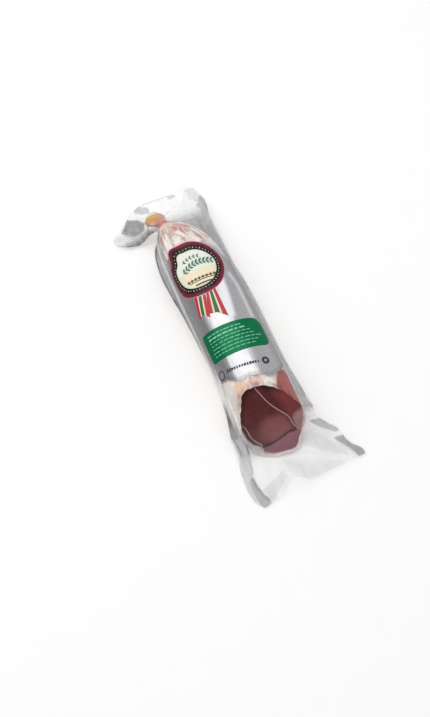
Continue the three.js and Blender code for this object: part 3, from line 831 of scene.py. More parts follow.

# painted light on the film: flats of painted shade and painted reflection, and painted highlights
PAINTED_FACET_LIGHT = (
    # the near skirt
    Facet(0.62, ((-44, -77), (-34.8, -84), (-36, -96), (-37.3, -105.5), (-41.4, -103), (-44.5, -100), (-45, -89))),
    Facet(0.3, ((-43, -102), (-37, -106), (-33.5, -118), (-37, -128), (-40.5, -136), (-46, -133), (-44.5, -116)),
          soft=1.2),
    Facet(0.42, ((-41.4, -140.7), (-40.9, -151), (-40.5, -159), (-33.8, -171.3), (-41.3, -175), (-45.2, -169.3),
                 (-46, -155.3), (-44.6, -144.2))),
    Facet(0.26, ((-45, -121), (-36, -122), (-38.2, -136), (-40.5, -150), (-43.7, -160), (-47, -168), (-52, -158),
                 (-52, -140))),
    Facet(0.18, ((-37.6, -157.3), (-21.7, -152), (-12.3, -149.2), (-11.3, -157.5), (-20.8, -163), (-32.6, -172))),
    Facet(0.46, ((29.9, -116.5), (41.3, -118.2), (47.9, -126.9), (55.9, -134.9), (50.3, -135.1), (40.1, -127.6),
                 (33.5, -121.1))),
    Facet(0.52, ((46.1, -139.5), (57.6, -140.4), (62.2, -150.7), (71.4, -163.2), (61.3, -165), (56.4, -153.8),
                 (47.4, -143.3))),
    Facet(0.19, ((19.5, -121.5), (29.9, -124.1), (41.3, -136.3), (48.7, -151.9), (54.8, -161.4), (36.6, -150.6),
                 (17.8, -135.1)), soft=2.5),
    Facet(0.14, ((-7, -139), (39.2, -158.6), (53.4, -164), (38.1, -165.3), (17, -167), (-6.2, -163.5), (-8.9, -152.4)),
          soft=2.0),
    # the far skirt
    Facet(0.6, ((-46, 170), (-36, 160), (-31, 152), (-33.9, 146), (-39.4, 145.9), (-47.8, 148.3), (-56.6, 158.7))),
    Facet(0.4, ((-37, 173.3), (-29.7, 171), (-21.8, 165.5), (-22.1, 158), (-29.5, 160.5), (-35.8, 167.7))),
    Facet(0.36, ((-0.2, 169.7), (8.5, 168.7), (10.7, 165.7), (3.2, 164.1))),
    Facet(0.18, ((-30.2, 175), (-15.9, 173.1), (-1.2, 172.9), (-1.4, 168), (-16.4, 168), (-29.2, 170)), soft=1.6),
    Facet(0.52, ((-49.8, 141), (-37.6, 138.6), (-27.9, 135.8), (-25.1, 130.8), (-35.4, 131), (-48.8, 136))),
    Facet(0.14, ((-70, 158), (-57.6, 157), (-50, 146), (-54, 138), (-66, 143)), soft=1.6),
    Facet(0.22, ((22.7, 171), (33.6, 173), (35.5, 162.6), (29.1, 154.1), (21.6, 157.8))),
    Facet(0.46, ((35.5, 164), (41, 157.6), (41, 145.5), (36, 136), (31.3, 132), (26.4, 133.3), (27.6, 139.9),
                 (28.3, 151))),
    # over the cut, painted highlights tinted by painted reflection of the meat: a milky glare, a flap at the lower
    # left, and the drawn foot
    Facet(0.5, ((15.9, -110.4), (19.2, -108), (28, -107), (28.5, -113.7), (23, -120), (19.5, -122), (16, -117)),
          white=0.6, rose=0.8, soft=2.0),
    Facet(0.66, ((-34.5, -97), (-33.2, -102.9), (-31.4, -110), (-27.6, -115.8), (-22.6, -118.5), (-19.5, -121.8),
                 (-20, -129), (-29, -123), (-34.5, -113), (-36.5, -102)), white=0.8, rose=0.15, soft=1.2),
    Facet(0.5, ((-19, -124.2), (-11.5, -128.8), (3.2, -132), (11.4, -131.6), (16.5, -127.6), (19, -122), (22, -121),
                (19.6, -130), (13, -135), (1.7, -136), (-12.4, -133), (-21.7, -128)), white=0.9, rose=0.35),
    # beside it, painted highlights: the bright line right of the meat that shows, and the drawn film left of the cut
    Facet(0.6, ((30.2, -60), (31.4, -60), (29, -72), (28.4, -79), (30.2, -86), (31.4, -93), (32.2, -100), (31, -100),
                (29.6, -93), (28.6, -86), (26.8, -79), (27.6, -72)), white=1.0, rose=0.25, soft=0.6),
    Facet(0.45, ((-30, -52), (-26.6, -64), (-27, -74), (-28.8, -84), (-31, -92), (-33.4, -98), (-36, -98), (-36, -84),
                 (-35.4, -66), (-34, -52)), white=0.85, soft=1.6),
)  # fmt: skip


@dataclass(frozen=True)
class PackShape:
    """The pack's form: the loin, the edges of the bag round it and the film's height over any place."""

    bag_half_length: float = 173.5
    film_pair: float = 0.6
    film_bridge: float = 3.6
    fin_height: float = 19.0
    fin_droop: float = 0.3
    floor_gap: float = 0.7
    half_width: float = 31.5
    centre_height: float = 23.5
    rise: float = 25.0
    drop: float = 25.0
    rim_rounding: float = 2.4
    cut_foot_y: float = -131.5
    cut_head_y: float = -77.0
    cut_skew: float = -0.39
    foot_skew: float = -0.15
    knot_end_y: float = 154.0
    far_skirt_y: float = 136.0
    near_skirt_y: float = -122.0
    flare_lag: float = 1.7
    least_body_half: float = 8.0
    least_fin: float = 1.5

    # by y: the loin's size as a share of its full one, its middle line, and the bag's two edges
    girth = Curve(
        (-80, 1.0), (0, 0.99), (55, 0.965), (88, 0.91), (108, 0.79), (124, 0.57), (133, 0.35), (138.5, 0.24),
        (146.5, 0.36), (154, 0.18),
    )  # fmt: skip
    middle_x = Curve((-110, -3), (-70, -2), (-20, -1), (78, -1), (108, -4), (124, -8), (134, -12.5), (147, -21.5))
    left_edge = Curve(
        (-173.5, -43), (-166, -48), (-157, -50), (-146, -49), (-134, -46.5), (-119, -44.5), (-94, -40), (-47, -36),
        (5, -36), (30, -37), (62, -39.5), (87, -40), (111, -36), (128, -26), (136, -22.5), (140, -29), (154, -53),
        (166, -65.5), (173.5, -68.5),
    )  # fmt: skip
    right_edge = Curve(
        (-173.5, 68.5), (-146, 61), (-123, 56), (-112, 53), (-104, 43), (-98, 38.5), (-88, 40), (-65, 38),
        (-46, 36.5), (15, 37.5), (47, 37), (71, 34.5), (104, 35.5), (136, 35.5), (150, 39), (162, 39), (173.5, 34),
    )  # fmt: skip
    # the two seals, by the share of the way across from the left edge
    far_seal = Curve(
        (0, 151.5), (0.04, 157), (0.12, 164), (0.22, 169), (0.36, 171), (0.58, 170), (0.78, 170), (0.9, 173.5),
        (1, 172),
    )  # fmt: skip
    near_seal = Curve((0, -173.5), (0.19, -169.5), (0.31, -161.5), (0.45, -167), (0.7, -165.5), (1, -164.5))
    far_pinch = Pinch(-21, 135, -1, 5, 0.6, 3.0)
    near_pinch = Pinch(36, -118, 1, 4, 0.4, 2.5)
    ripple = Grain(11)
    streak = Grain(23)

    def half_width_at(self, y: Array) -> Array:
        """Half the loin's width at y."""
        return self.half_width * self.girth(y)

    def across(self, x: Array, y: Array) -> Array:
        """How far across the loin x is: 0 on its middle line, 1 at its side."""
        return np.abs(x - self.middle_x(y)) / self.half_width_at(y)

    def cut_height(self, x: Array, y: Array) -> Array:
        """Height of the slanting cut over x, y."""
        foot = self.cut_foot_y + self.foot_skew * x
        head = self.cut_head_y + self.cut_skew * x
        return (y - foot) / (head - foot) * (self.centre_height + self.rise)

    def cut_y(self, x: Array, z: Array) -> Array:
        """Where the cut is at x and height z."""
        up = z / (self.centre_height + self.rise)
        return mix(self.cut_foot_y + self.foot_skew * x, self.cut_head_y + self.cut_skew * x, up)

    def gathers(self, turn: Array, y: Array) -> Array:
        """How far the gathered casing stands out at a turn round the loin: wide gathers and fine ones."""
        wide = 1.2 * ease(94, 118, y) * ease(138, 126, y) * np.cos(7 * turn)
        return wide + 0.7 * ease(100, 122, y) * ease(140, 130, y) * np.cos(17 * turn + 0.8 * np.sin(3 * turn))

    def section(self, x: Array, y: Array) -> tuple[Array, Array]:
        """The share of its full height that the loin's oval section has over x, y, and its fall past its side."""
        across = self.across(x, y)
        return np.sqrt(np.maximum(1 - across**2, 0)), np.maximum(across - 1, 0) * 3 * self.half_width_at(y)

    def loin_top(self, x: Array, y: Array) -> Array:
        """The loin's upper side, which falls away steeply past its outline."""
        share, fall = self.section(x, y)
        turn = np.arcsin(np.clip(self.across(x, y), 0, 1)) * np.sign(x - self.middle_x(y))
        top = self.centre_height + (self.rise * self.girth(y) + self.gathers(turn, y)) * share - fall
        top = top - np.maximum(y - self.knot_end_y, 0) * 4
        return smooth_min(top, self.cut_height(x, y), self.rim_rounding)

    def loin_bottom(self, x: Array, y: Array) -> Array:
        """The loin's underside, flattened where it rests."""
        share, fall = self.section(x, y)
        low = self.centre_height - self.drop * self.girth(y) * share + fall
        past = np.maximum(y - self.knot_end_y, 0) * 4 + np.maximum(self.cut_foot_y + self.foot_skew * x - y, 0) * 0.8
        return np.maximum(low + past, 0)

    def painted_flat_light(self, x: Array, y: Array) -> tuple[Array, Array, Array]:
        """The painted shade and painted reflection (grey), painted highlight (white) and painted reflection of the
        meat (rose) that the flats add over x, y.
        """
        looks = np.zeros((3, *np.shape(x)))
        for facet in PAINTED_FACET_LIGHT:
            share = facet.at(x, y)
            looks = np.maximum(looks, [facet.grey * share, facet.white * share, facet.rose * share])
        return tuple(looks)

    def folds(self, x: Array, y: Array) -> tuple[Array, Array]:
        """The height and the painted grey that the single folds add over x, y."""
        ridges, shades = zip(*(fold.at(x, y) for fold in FOLDS))
        return sum(ridges), np.maximum.reduce(shades)

    def web(self, x: Array, y: Array) -> Array:
        """Height of the middle of the two sheets where they lie together."""
        outside = np.maximum(np.abs(x - self.middle_x(y)) - self.half_width_at(y), 0)
        fin = self.fin_height - self.fin_droop * np.minimum(outside, 14)
        fin = fin + 0.45 * np.sin(outside * 2.3 + 2.5 * self.ripple(x * 0.02 + 9, y * 0.025)) * ease(0, 2, outside)
        side = mix(3, fin, ease(0.55, 1, self.across(x, y)))
        far_arch = 22 * ease(-66, -14, x) * ease(58, 14, x) * mix(1, ease(134, 160, y), ease(-22, -40, x))
        near_ridge = 15 * bump(x, -5, 11) * ease(-130, -160, y)
        near_swell = 5 * (bump(x, 24, 22) + bump(x, -32, 9)) * ease(-120, -145, y) * ease(-180, -150, y)
        to_far = np.maximum(ease(132, 156, y), ease(-28, -46, x) * ease(122, 136, y))
        to_near = ease(-90, -140, y - self.cut_skew * x)
        level = mix(side, self.floor_gap + far_arch, to_far)
        level = mix(level, self.floor_gap + near_ridge + near_swell, to_near)
        skirts = np.maximum(to_far, to_near)
        crumple = 0.55 * self.ripple(x * 0.07, y * 0.06) + 0.2 * np.abs(self.ripple(x * 0.2 + 5, y * 0.17))
        level = level + skirts * crumple + self.folds(x, y)[0]
        level = level + 11 * bump(x, -34, 4.5) * bump(y, -113, 10)
        return np.maximum(level + self.far_pinch.height_at(x, y) + self.near_pinch.height_at(x, y), self.floor_gap)

    def film_top(self, x: Array, y: Array) -> Array:
        """Height of the upper sheet."""
        across = self.across(x, y)
        inside = ease(1.02, 0.9, across)
        waves = 0.16 * self.streak(x * 0.19, y * 0.021) * ease(0.25, 0.7, across)
        waves = waves + 0.1 * self.streak(x * 0.08 + 7, y * 0.05 + 3) + 0.12
        near_cut = bump(self.cut_height(x, y) - self.loin_height(x, y), 2, 9)
        waves = waves + 0.14 * near_cut * (self.ripple(x * 0.14, y * 0.08) + 0.6)
        return smooth_max(self.loin_top(x, y) + waves * inside, self.web(x, y) + self.film_pair / 2, self.film_bridge)

    def loin_height(self, x: Array, y: Array) -> Array:
        """The loin's upper side before the cut."""
        return self.centre_height + self.rise * self.girth(y) * self.section(x, y)[0]

    def film_bottom(self, x: Array, y: Array) -> Array:
        """Height of the lower sheet, which rests on the floor under the loin."""
        low = smooth_min(self.loin_bottom(x, y), self.web(x, y) - self.film_pair / 2, self.film_bridge)
        return np.clip(low, 0, self.film_top(x, y) - self.film_pair)

    def rows(self, steps: Sequence[int]) -> Array:
        """Stations along the pack, with steps in each run from the near seal to the far one."""
        ends = (-self.bag_half_length, -128, -74, 84, 124, self.bag_half_length)
        runs = [np.linspace(a, b, n, endpoint=False) for a, b, n in zip(ends, ends[1:], steps)]
        return np.concatenate([*runs, [self.bag_half_length]])

    def film_places(self, steps: Sequence[int], fin_steps: int, body_steps: int) -> tuple[Array, Array]:
        """The x and y of the film's grid.

        Args:
            steps: how many rows in each run along the pack.
            fin_steps: columns over each fin.
            body_steps: columns over the loin.

        Returns:
            Two grids, with a row for each station and a column for each place across.
        """
        row = self.rows(steps)[:, None]
        left, right = self.left_edge(row), self.right_edge(row)
        half = np.maximum(self.half_width_at(row), self.least_body_half)
        middle = np.clip(self.middle_x(row), left + half + self.least_fin, right - half - self.least_fin)
        flat = np.maximum(ease(self.near_skirt_y, -150, row), ease(146, 164, row))
        fin = np.arange(fin_steps)[None, :] / fin_steps
        body = np.sin(np.linspace(-1, 1, body_steps + 1) * math.pi / 2)[None, :]
        runs = [mix(left, middle - half, fin), middle + half * body, mix(middle + half, right, fin + 1 / fin_steps)]
        x = np.concatenate(runs, axis=1)
        share = np.linspace(0, 1, x.shape[1])[None, :]
        x = mix(x, mix(left, right, share), flat)
        skew = self.cut_skew * x * ease(-30, -78, row) * ease(-self.bag_half_length, -112, row)
        past = np.maximum(self.near_skirt_y - row, 0) / (self.bag_half_length + self.near_skirt_y)
        y = row + past * (self.near_seal(share) + self.bag_half_length) + skew
        beyond = (row - self.far_skirt_y) / (self.bag_half_length - self.far_skirt_y)
        lag = np.maximum(beyond, 0) ** (1 + self.flare_lag * ease(0.3, 0, share))
        y = np.where(row > self.far_skirt_y, mix(self.far_skirt_y, self.far_seal(share), lag), y)
        return x, y


class FilmMap:
    """Where a place of the print lies on the film: arc millimetres round the loin from its crest, at y."""

    ARC_STEP = 0.4
    Y_STEP = 0.6
    TURNS = 401

    def __init__(self, shape: PackShape) -> None:
        """Walks round the film at many stations and keeps what it finds."""
        self.arcs = np.arange(-44, 44.01, self.ARC_STEP)
        self.ys = np.arange(-84, 110.01, self.Y_STEP)
        turn = np.linspace(-math.pi / 2, math.pi / 2, self.TURNS)[None, :]
        y = self.ys[:, None]
        x = shape.middle_x(y) + shape.half_width_at(y) * np.sin(turn)
        z = shape.film_top(x, y + 0 * x)
        steps = [np.diff(way, axis=1, prepend=way[:, :1]) for way in (x, z)]
        walked = np.cumsum(np.hypot(*steps), axis=1)
        walked -= walked[:, self.TURNS // 2, None]
        self.x = np.array([np.interp(self.arcs, w, row) for w, row in zip(walked, x)])
        self.z = np.array([np.interp(self.arcs, w, row) for w, row in zip(walked, z)])
        x_y, x_a = np.gradient(self.x, self.Y_STEP, self.ARC_STEP)
        z_y, z_a = np.gradient(self.z, self.Y_STEP, self.ARC_STEP)
        normal = np.stack([-z_a, z_a * x_y - x_a * z_y, x_a], -1)
        self.normal = normal / np.linalg.norm(normal, axis=-1, keepdims=True)

    def lay(self, flat: Array) -> Array:
        """Lays flat print, rows of arc from the crest, y and lift over the film, on the film."""
        arc, y, lift = np.asarray(flat, float).T
        a = np.clip((arc - self.arcs[0]) / self.ARC_STEP, 0, len(self.arcs) - 1.001)
        b = np.clip((y - self.ys[0]) / self.Y_STEP, 0, len(self.ys) - 1.001)
        i, j = a.astype(int), b.astype(int)
        fa, fb = a - i, b - j

        def between(table: Array) -> Array:
            """The table's value between its four nearest entries."""
            wide = (1,) * (table.ndim - 2)
            u, v = fa.reshape(-1, *wide), fb.reshape(-1, *wide)
            return mix(mix(table[j, i], table[j, i + 1], u), mix(table[j + 1, i], table[j + 1, i + 1], u), v)

        return np.stack([between(self.x), y, between(self.z)], -1) + between(self.normal) * lift[:, None]


# ---- The bag

# the raised creases of the film over the cut
OVER_CUT = (
    ((-10.9, -73.8), (-7.5, -80.4), (-2.8, -89.7), (2.2, -96.6), (7.6, -102.5), (12.4, -108.1), (14.4, -115),
     (19.2, -120.8)),
    ((-32.2, -96.6), (-29.2, -102.9), (-27.5, -110), (-23.5, -115.4), (-20.1, -118.7), (-21.9, -121.8)),
)  # fmt: skip


@dataclass
class Bag:
    """The two sheets of film round the loin, closed along their edges, and the creases drawn up on them."""

    shape: PackShape
    film: Finish = ClearFilm()
    row_steps: tuple[int, ...] = (50, 66, 84, 34, 62)
    fin_steps: int = 14
    body_steps: int = 78
    crease_steps: int = 60
    crease_size: tuple[float, float] = (1.5, 0.9)
    crease_sides: int = 10
    crease_lift: float = 0.15

    def haze_and_painted_light(self, x: Array, y: Array) -> dict[str, Array]:
        """How the film's milky layer looks at each place: how grey, how white and how rosy, a little real haze and
        mostly painted light.

        It is clear over the meat and nearly so in the skirts. In the fins it is grey with painted shade and painted
        reflection, with a white painted highlight line where the two sheets come together, and grey with painted shade
        in its folds.
        """
        shape = self.shape
        outside = np.abs(x - shape.middle_x(y)) - shape.half_width_at(y)
        is_left = x < shape.middle_x(y)
        to_edge = np.where(is_left, x - shape.left_edge(y), shape.right_edge(y) - x)
        to_far = ease(134, 150, y)
        to_near = np.maximum(ease(-100, -128, y - shape.cut_skew * x), ease(-103, -111, y) * ease(10, 25, x))
        skirt = np.maximum(to_far, to_near)
        streaks = 0.5 + 0.5 * shape.streak(x * 0.45 + 3, y * 0.02)
        # the fins: painted shade and painted reflection, darker on the left
        fin = np.where(is_left, mix(0.85, 0.6, ease(0.6, 2.4, to_edge)), mix(0.28, 0.55, ease(0.0, 2.2, to_edge)))
        # a painted highlight patch on the left fin
        pale = np.where(is_left, bump(y, -58, 15), 0)
        fin = fin * mix(0.88, 1.08, streaks) * ease(-1.4, 0.6, outside) * (1 - 0.65 * pale)
        # a painted highlight line along each fin
        place = np.where(is_left, 2.5, mix(1.4, -2.6, ease(0, 20, y)))
        line = bump(outside, place, np.where(is_left, 1.1, 0.85)) * (0.8 + 0.2 * shape.ripple(y * 0.06, 3 + 0 * y))
        grey, white, rose = shape.painted_flat_light(x, y)
        base = mix(np.maximum(fin, 0.55 * line), mix(0.015, 0.05, ease(-60, -120, y)), skirt)
        grey = np.clip(np.maximum.reduce([base, grey, shape.folds(x, y)[1]]), 0, 1)
        white = np.maximum.reduce([white, 0.95 * line * (1 - skirt), 0.8 * pale * ease(-1, 1, outside)])
        return {"grey": grey, "white": white, "rose": rose}

    def build(self) -> None:
        """Makes the bag's two sheets and the raised creases over the cut."""
        x, y = self.shape.film_places(self.row_steps, self.fin_steps, self.body_steps)
        sheets = [np.stack([x, y, height(x, y)], -1) for height in (self.shape.film_top, self.shape.film_bottom)]
        milky_painted_light = {key: np.tile(value.ravel(), 2) for key, value in self.haze_and_painted_light(x, y).items()}
        mesh = make_mesh("vacuum_bag", np.concatenate(sheets).reshape(-1, 3), slab_faces(*x.shape), milky_painted_light)
        make_piece("vacuum_bag", mesh, self.film, ["sealed_bag"])
        lines, reach = [], []
        for path in OVER_CUT:
            along = np.linspace(0, len(path) - 1, self.crease_steps)
            x, y = (Curve(*enumerate(places))(along) for places in zip(*path))
            lines.append(np.stack([x, y, self.shape.film_top(x, y) + self.crease_lift], -1))
            reach.append(ease(-0.3, 1.2, along) * ease(along[-1] + 0.3, along[-1] - 0.8, along))
        # the raised creases over the cut: painted shade, a little painted highlight and a rosy painted reflection of
        # the meat
        milky_painted_light = {"grey": 0.62, "white": 0.2, "rose": 0.85}
        sweep("film_creases", lines, reach, self.crease_size, self.crease_sides, self.film, milky_painted_light)


# ---- The loin

# thin creases in the casing, darkened with painted shade, each with its half width: over the shoulder, and above the
# cut
SHOULDER_CREASES = (
    (((-20.6, 128), (-21.4, 122), (-22.5, 114)), 0.9),
    (((-12.5, 125), (-11.4, 123.5), (-9.4, 119.7), (-8.6, 116)), 0.9),
    (((-0.8, 114), (0.1, 112.6), (1.8, 109.2)), 1.1),
    (((-12.4, 113), (-10.9, 110.8), (-7.9, 106.3), (-6, 99.2)), 0.9),
    (((-16.5, 118), (-17.4, 108), (-18.4, 100)), 0.8),
    (((-24.5, 121), (-26, 112), (-26.5, 104), (-26, 97)), 1.0),
    (((4, 112), (8, 104), (11, 96)), 0.9),
    (((-6, 126), (1, 122), (8, 116), (12, 108)), 0.8),
    (((-3, 119), (-5, 113), (-3, 108)), 1.0),
    (((-9.1, -65.5), (-10.3, -69.5), (-10.6, -73)), 0.7),
    (((-4.9, -65.9), (-1.5, -67.5), (0.3, -70), (0.6, -74)), 0.6),
    (((0.3, -72.6), (-0.1, -77)), 0.9),
    (((15, -70), (14.6, -78), (14.8, -85)), 0.6),
)

# patches of the casing: meat showing through right of the cut, fat left of it, and pink on the shoulder and above it
RED_STREAK = Facet(
    1.0, ((19, -66), (27, -66), (29, -78), (33, -88), (36, -102), (24.6, -106), (18, -98), (12, -90), (10, -83.5)),
    soft=1.2,
)  # fmt: skip
PEACH_PATCH = Facet(0.8, ((-24, -62), (-14.4, -66), (-14, -75), (-22, -78), (-27, -77), (-27, -68)), soft=2.5)
PINK_SHOULDER = Facet(1.0, ((-9, 131), (0, 128), (8.5, 120), (3, 109), (-6, 110), (-12, 120)), soft=2.0)
PINK_ABOVE_CUT = Facet(1.0, ((-9, -66), (0, -69.8), (0, -78), (-10, -75)), soft=1.0)


@dataclass
class Loin:
    """The half loin: its casing, its slanting cut face and the twine round its neck."""

    shape: PackShape
    inset: float = 0.45  # under the film
    slant_ends_y: float = -15.0  # where the rows stop leaning with the cut
    around: int = 168
    lip_rows: int = 5
    rings: int = 44
    cut_middle_y: float = -102.0
    cut_middle_z: float = 21.0
    cut_radius: float = 29.0  # about what the cut face measures from its middle to its rim
    neck_y: float = 138.0
    neck_dip: float = 1.7
    neck_reach: float = 4.5
    tie_turns: int = 4
    tie_length: float = 4.8  # along the neck
    tie_steps: int = 360
    tie_twists: int = 9  # of the two plies, in each turn round the neck
    ply: float = 0.34  # how far each ply of the twine lies from its middle

    # share of the oval's girth by turn round it, in degrees from the crest: the whole loin at the cut, which sags to
    # the lower left, and the meat inside the casing's edge
    body_share = Curve(
        (-180, 0.98), (-159, 1.0), (-139, 1.08), (-127, 1.14), (-105, 1.08), (-77, 1.01), (-50, 1.0), (0, 0.985),
        (53, 0.985), (67, 1.0), (86, 0.97), (106, 0.91), (130, 0.9), (156, 1.0), (180, 0.98),
    )  # fmt: skip
    meat_share = Curve(
        (-180, 0.96), (-159, 0.97), (-139, 1.05), (-127, 1.11), (-105, 1.05), (-90, 0.95), (-71, 0.88), (-56, 0.9),
        (-43, 0.95), (-28, 0.975), (0, 0.965), (31, 0.975), (45, 0.945), (56, 0.95), (72, 1.0), (86, 0.92),
        (106, 0.87), (130, 0.86), (156, 1.0), (180, 0.96),
    )  # fmt: skip
    # height of the lowest fold of the cut over x
    lip_fold = Curve(
        (-22, 5.2), (-20.9, 6.2), (-14.9, 6.5), (-7.4, 8.1), (1.3, 10.3), (9, 12.7), (14.1, 13.4), (22, 17),
    )  # fmt: skip

    def stations(self) -> Array:
        """The rows from the cut to the tip."""
        runs = ((self.shape.cut_foot_y, -95, 30), (-95, 84, 90), (84, self.shape.knot_end_y, 92))
        parts = [np.linspace(a, b, n, endpoint=False) for a, b, n in runs]
        return np.concatenate([*parts, [self.shape.knot_end_y - 0.4]])

    def skin(self) -> tuple[Array, Array]:
        """The casing's points.

        Returns:
            A grid of points with one row for each station, and the painted shade in the troughs between the gathers at
            each point.
        """
        shape = self.shape
        row = self.stations()[:, None]
        turn = (2 * math.pi * np.arange(self.around) / self.around)[None, :] + 0 * row
        degrees = np.degrees(np.where(turn > math.pi, turn - 2 * math.pi, turn))
        share = mix(self.body_share(degrees), 1.0, ease(-125, -55, row))
        lean = 1 - ease(shape.cut_foot_y, self.slant_ends_y, row)
        y = row + 0 * turn
        for _ in range(3):
            sunk = self.inset + self.neck_dip * bump(y, self.neck_y, self.neck_reach)
            tall = (shape.rise * shape.girth(y) - sunk) * share
            up = np.cos(turn)
            x = shape.middle_x(y) + (shape.half_width_at(y) - sunk) * share * np.sin(turn)
            z = shape.centre_height + np.where(up > 0, tall + shape.gathers(turn, y), tall) * up
            z = np.maximum(z, self.inset)
            y = row + lean * (shape.cut_y(x, z) - shape.cut_foot_y)
        tip = np.sqrt(ease(shape.knot_end_y - 0.4, shape.knot_end_y - 4, row))
        points = np.stack([mix(shape.middle_x(y), x, tip), y, mix(shape.centre_height, z, tip)], -1)
        # painted shade in the troughs between the gathers
        painted_crease_shade = ease(0.35, 1.0, -np.cos(7 * turn)) * ease(96, 116, y) * ease(140, 130, y)
        painted_crease_shade = np.maximum(painted_crease_shade, 0.6 * ease(0.2, 1, -np.cos(17 * turn)) * ease(104, 122, y) * ease(142, 132, y))
        lip = np.linspace(0, 1, self.lip_rows, endpoint=False)[:, None, None]
        points = np.concatenate([mix(self.meat_rim(turn[0], degrees[0])[None], points[:1], lip), points])
        return self.rounded(points), np.concatenate([np.zeros((self.lip_rows, self.around)), painted_crease_shade])

    def meat_rim(self, turn: Array, degrees: Array) -> Array:
        """Where the meat ends and the casing's edge begins, round the cut."""
        shape = self.shape
        share = self.meat_share(degrees) * (1 + 0.012 * np.sin(9 * turn + 1) + 0.008 * np.sin(23 * turn))
        x = shape.middle_x(self.cut_middle_y) + (shape.half_width - self.inset) * share * np.sin(turn)
        z = np.maximum(shape.centre_height + (shape.rise - self.inset) * share * np.cos(turn), self.inset)
        return np.stack([x, shape.cut_y(x, z), z], -1)

    def sinking(self, x: Array, y: Array) -> Array:
        """How far the rounding of the cut's rim lowers what lies over x, y."""
        top = self.shape.loin_height(x, y) - self.inset
        plane = self.shape.cut_height(x, y) - self.inset
        return np.minimum(top, plane) - smooth_min(top, plane, self.shape.rim_rounding)

    def rounded(self, points: Array) -> Array:
        """The same points, sunk a little where they are near the rim of the cut."""
        x, y, z = np.moveaxis(points, -1, 0)
        return np.stack([x, y, np.maximum(z - self.sinking(x, y) * ease(20, 30, z), self.inset)], -1)

    def build(self) -> None:
        """Makes the casing, the cut face and the tie."""
        points, painted_crease_shade = self.skin()
        self._casing(points, painted_crease_shade.ravel())
        self._cut_face(points[0])
        self._tie()

    def _casing(self, points: Array, painted_crease_shade: Array) -> None:
        """Makes the casing, with what tells its finish where it blushes and yellows, and where painted shade darkens
        its creases.
        """
        shape = self.shape
        rows, cols = points.shape[:2]
        faces = [*grid_faces(rows, cols, closed=True), range((rows - 1) * cols, rows * cols)]
        flat = points.reshape(-1, 3)
        x, y, z = flat.T
        from_cut = y - shape.cut_y(x, z)
        ripple = shape.ripple(x * 0.11 + 2, y * 0.09)
        blush = 0.3 * ease(5, 0, from_cut) * ease(10, 20, z) * (0.6 + 0.4 * ripple)
        blush = np.maximum(RED_STREAK.at(x, y) * ease(12, 20, z), blush)
        peach = np.maximum(PEACH_PATCH.at(x, y), 0.7 * bump(x, 32.5, 2.5) * bump(y, -101, 5))
        knot = bump(y, 137.5, 4.5) * (0.7 + 0.3 * ripple)
        patch = 0.85 * PINK_SHOULDER.at(x, y) * ease(-0.4, 0.3, ripple)
        pink = np.maximum.reduce([knot, patch, 0.45 * PINK_ABOVE_CUT.at(x, y)])
        pink = pink * (0.55 + 0.45 * ease(-0.5, 0.4, shape.streak(x * 0.3 + y * 0.12, y * 0.05)))
        pink = np.maximum(pink, 0.7 * ease(-23.5, -16.5, x) * ease(137, 140, y))
        tail = ease(139.5, 142.5, y + 0.25 * (x + 22)) * (1 - 0.8 * ease(-22.5, -15.5, x))
        patchy = ease(-0.1, 0.6, shape.streak(x * 0.35, y * 0.12))
        # a painted shadow along the casing's edge above the cut, and painted shade in the thin creases below
        painted_crease_shade = np.maximum(0.1 * painted_crease_shade, 0.6 * bump(from_cut, 2.3, 2.3) * patchy * ease(28, 40, z))
        depth = mix(0.5, 0.75, ease(-60, 90, y)) * (0.75 + 0.25 * shape.streak(x * 0.3, y * 0.2)) * ease(20, 30, z)
        for path, width in SHOULDER_CREASES:
            away = np.abs(line_distance(x, y, path)[0])
            painted_crease_shade = np.maximum(painted_crease_shade, depth * ease(1.5 * width, 0.4 * width, away))
        marks = {"painted_crease_shade": painted_crease_shade, "blush": np.clip(blush, 0, 1), "peach": 0.8 * peach, "tail": tail,
                 "pink": np.clip(pink, 0, 1)}  # fmt: skip
        make_piece("loin_casing", make_mesh("loin_casing", flat, faces, marks), Casing())

    def _cut_face(self, rim: Array) -> None:
        """Makes the cut face as rings drawn in from the casing's first row."""
        shape = self.shape
        middle = np.array([0.0, float(shape.cut_y(0.0, self.cut_middle_z)), self.cut_middle_z])
        share = 1 - np.linspace(0, 1, self.rings + 1)[:-1] ** 0.75
        x, y, z = np.moveaxis(middle + (rim[None] - middle) * share[:, None, None], -1, 0)
        plane = shape.cut_height(x, y) - self.inset
        level = np.maximum(plane - self.sinking(x, y) * ease(20, 30, plane), self.inset)
        inner = ease(1, 0.96, share)[:, None]
        swell = 0.25 * shape.ripple(x * 0.12, z * 0.12) * ease(1, 0.8, share)[:, None]
        grid = np.stack([x, y, mix(z, level + swell - 0.25 * inner, inner)], -1)
        flat = np.concatenate([grid.reshape(-1, 3), [middle - [0, 0, self.inset]]])
        x, y, z = flat.T
        last = np.arange(self.around) + (self.rings - 1) * self.around
        fan = np.stack([np.roll(last, -1), last, np.full(self.around, len(last) * self.rings)], 1)
        faces = [*grid_faces(self.rings, self.around, closed=True)[:, ::-1], *fan]
        inward = np.append(np.repeat((1 - share) * self.cut_radius, self.around), self.cut_radius)
        ripple = shape.ripple(x * 0.16 + 9, z * 0.16)
        heart = ease(1.25, 0.6, np.hypot((x + 1) / 18, (z - 15.5) / 11) + 0.15 * ripple)
        under = self.lip_fold(x) - z
        lip = ease(0.4, 1.6, under) * ease(-21, -18, x)
        dark = ease(4.5, 0.6, inward + 1.2 * ripple) * (1 - lip) * (1 - 0.85 * ease(8, 12, x) * ease(25, 31, z))
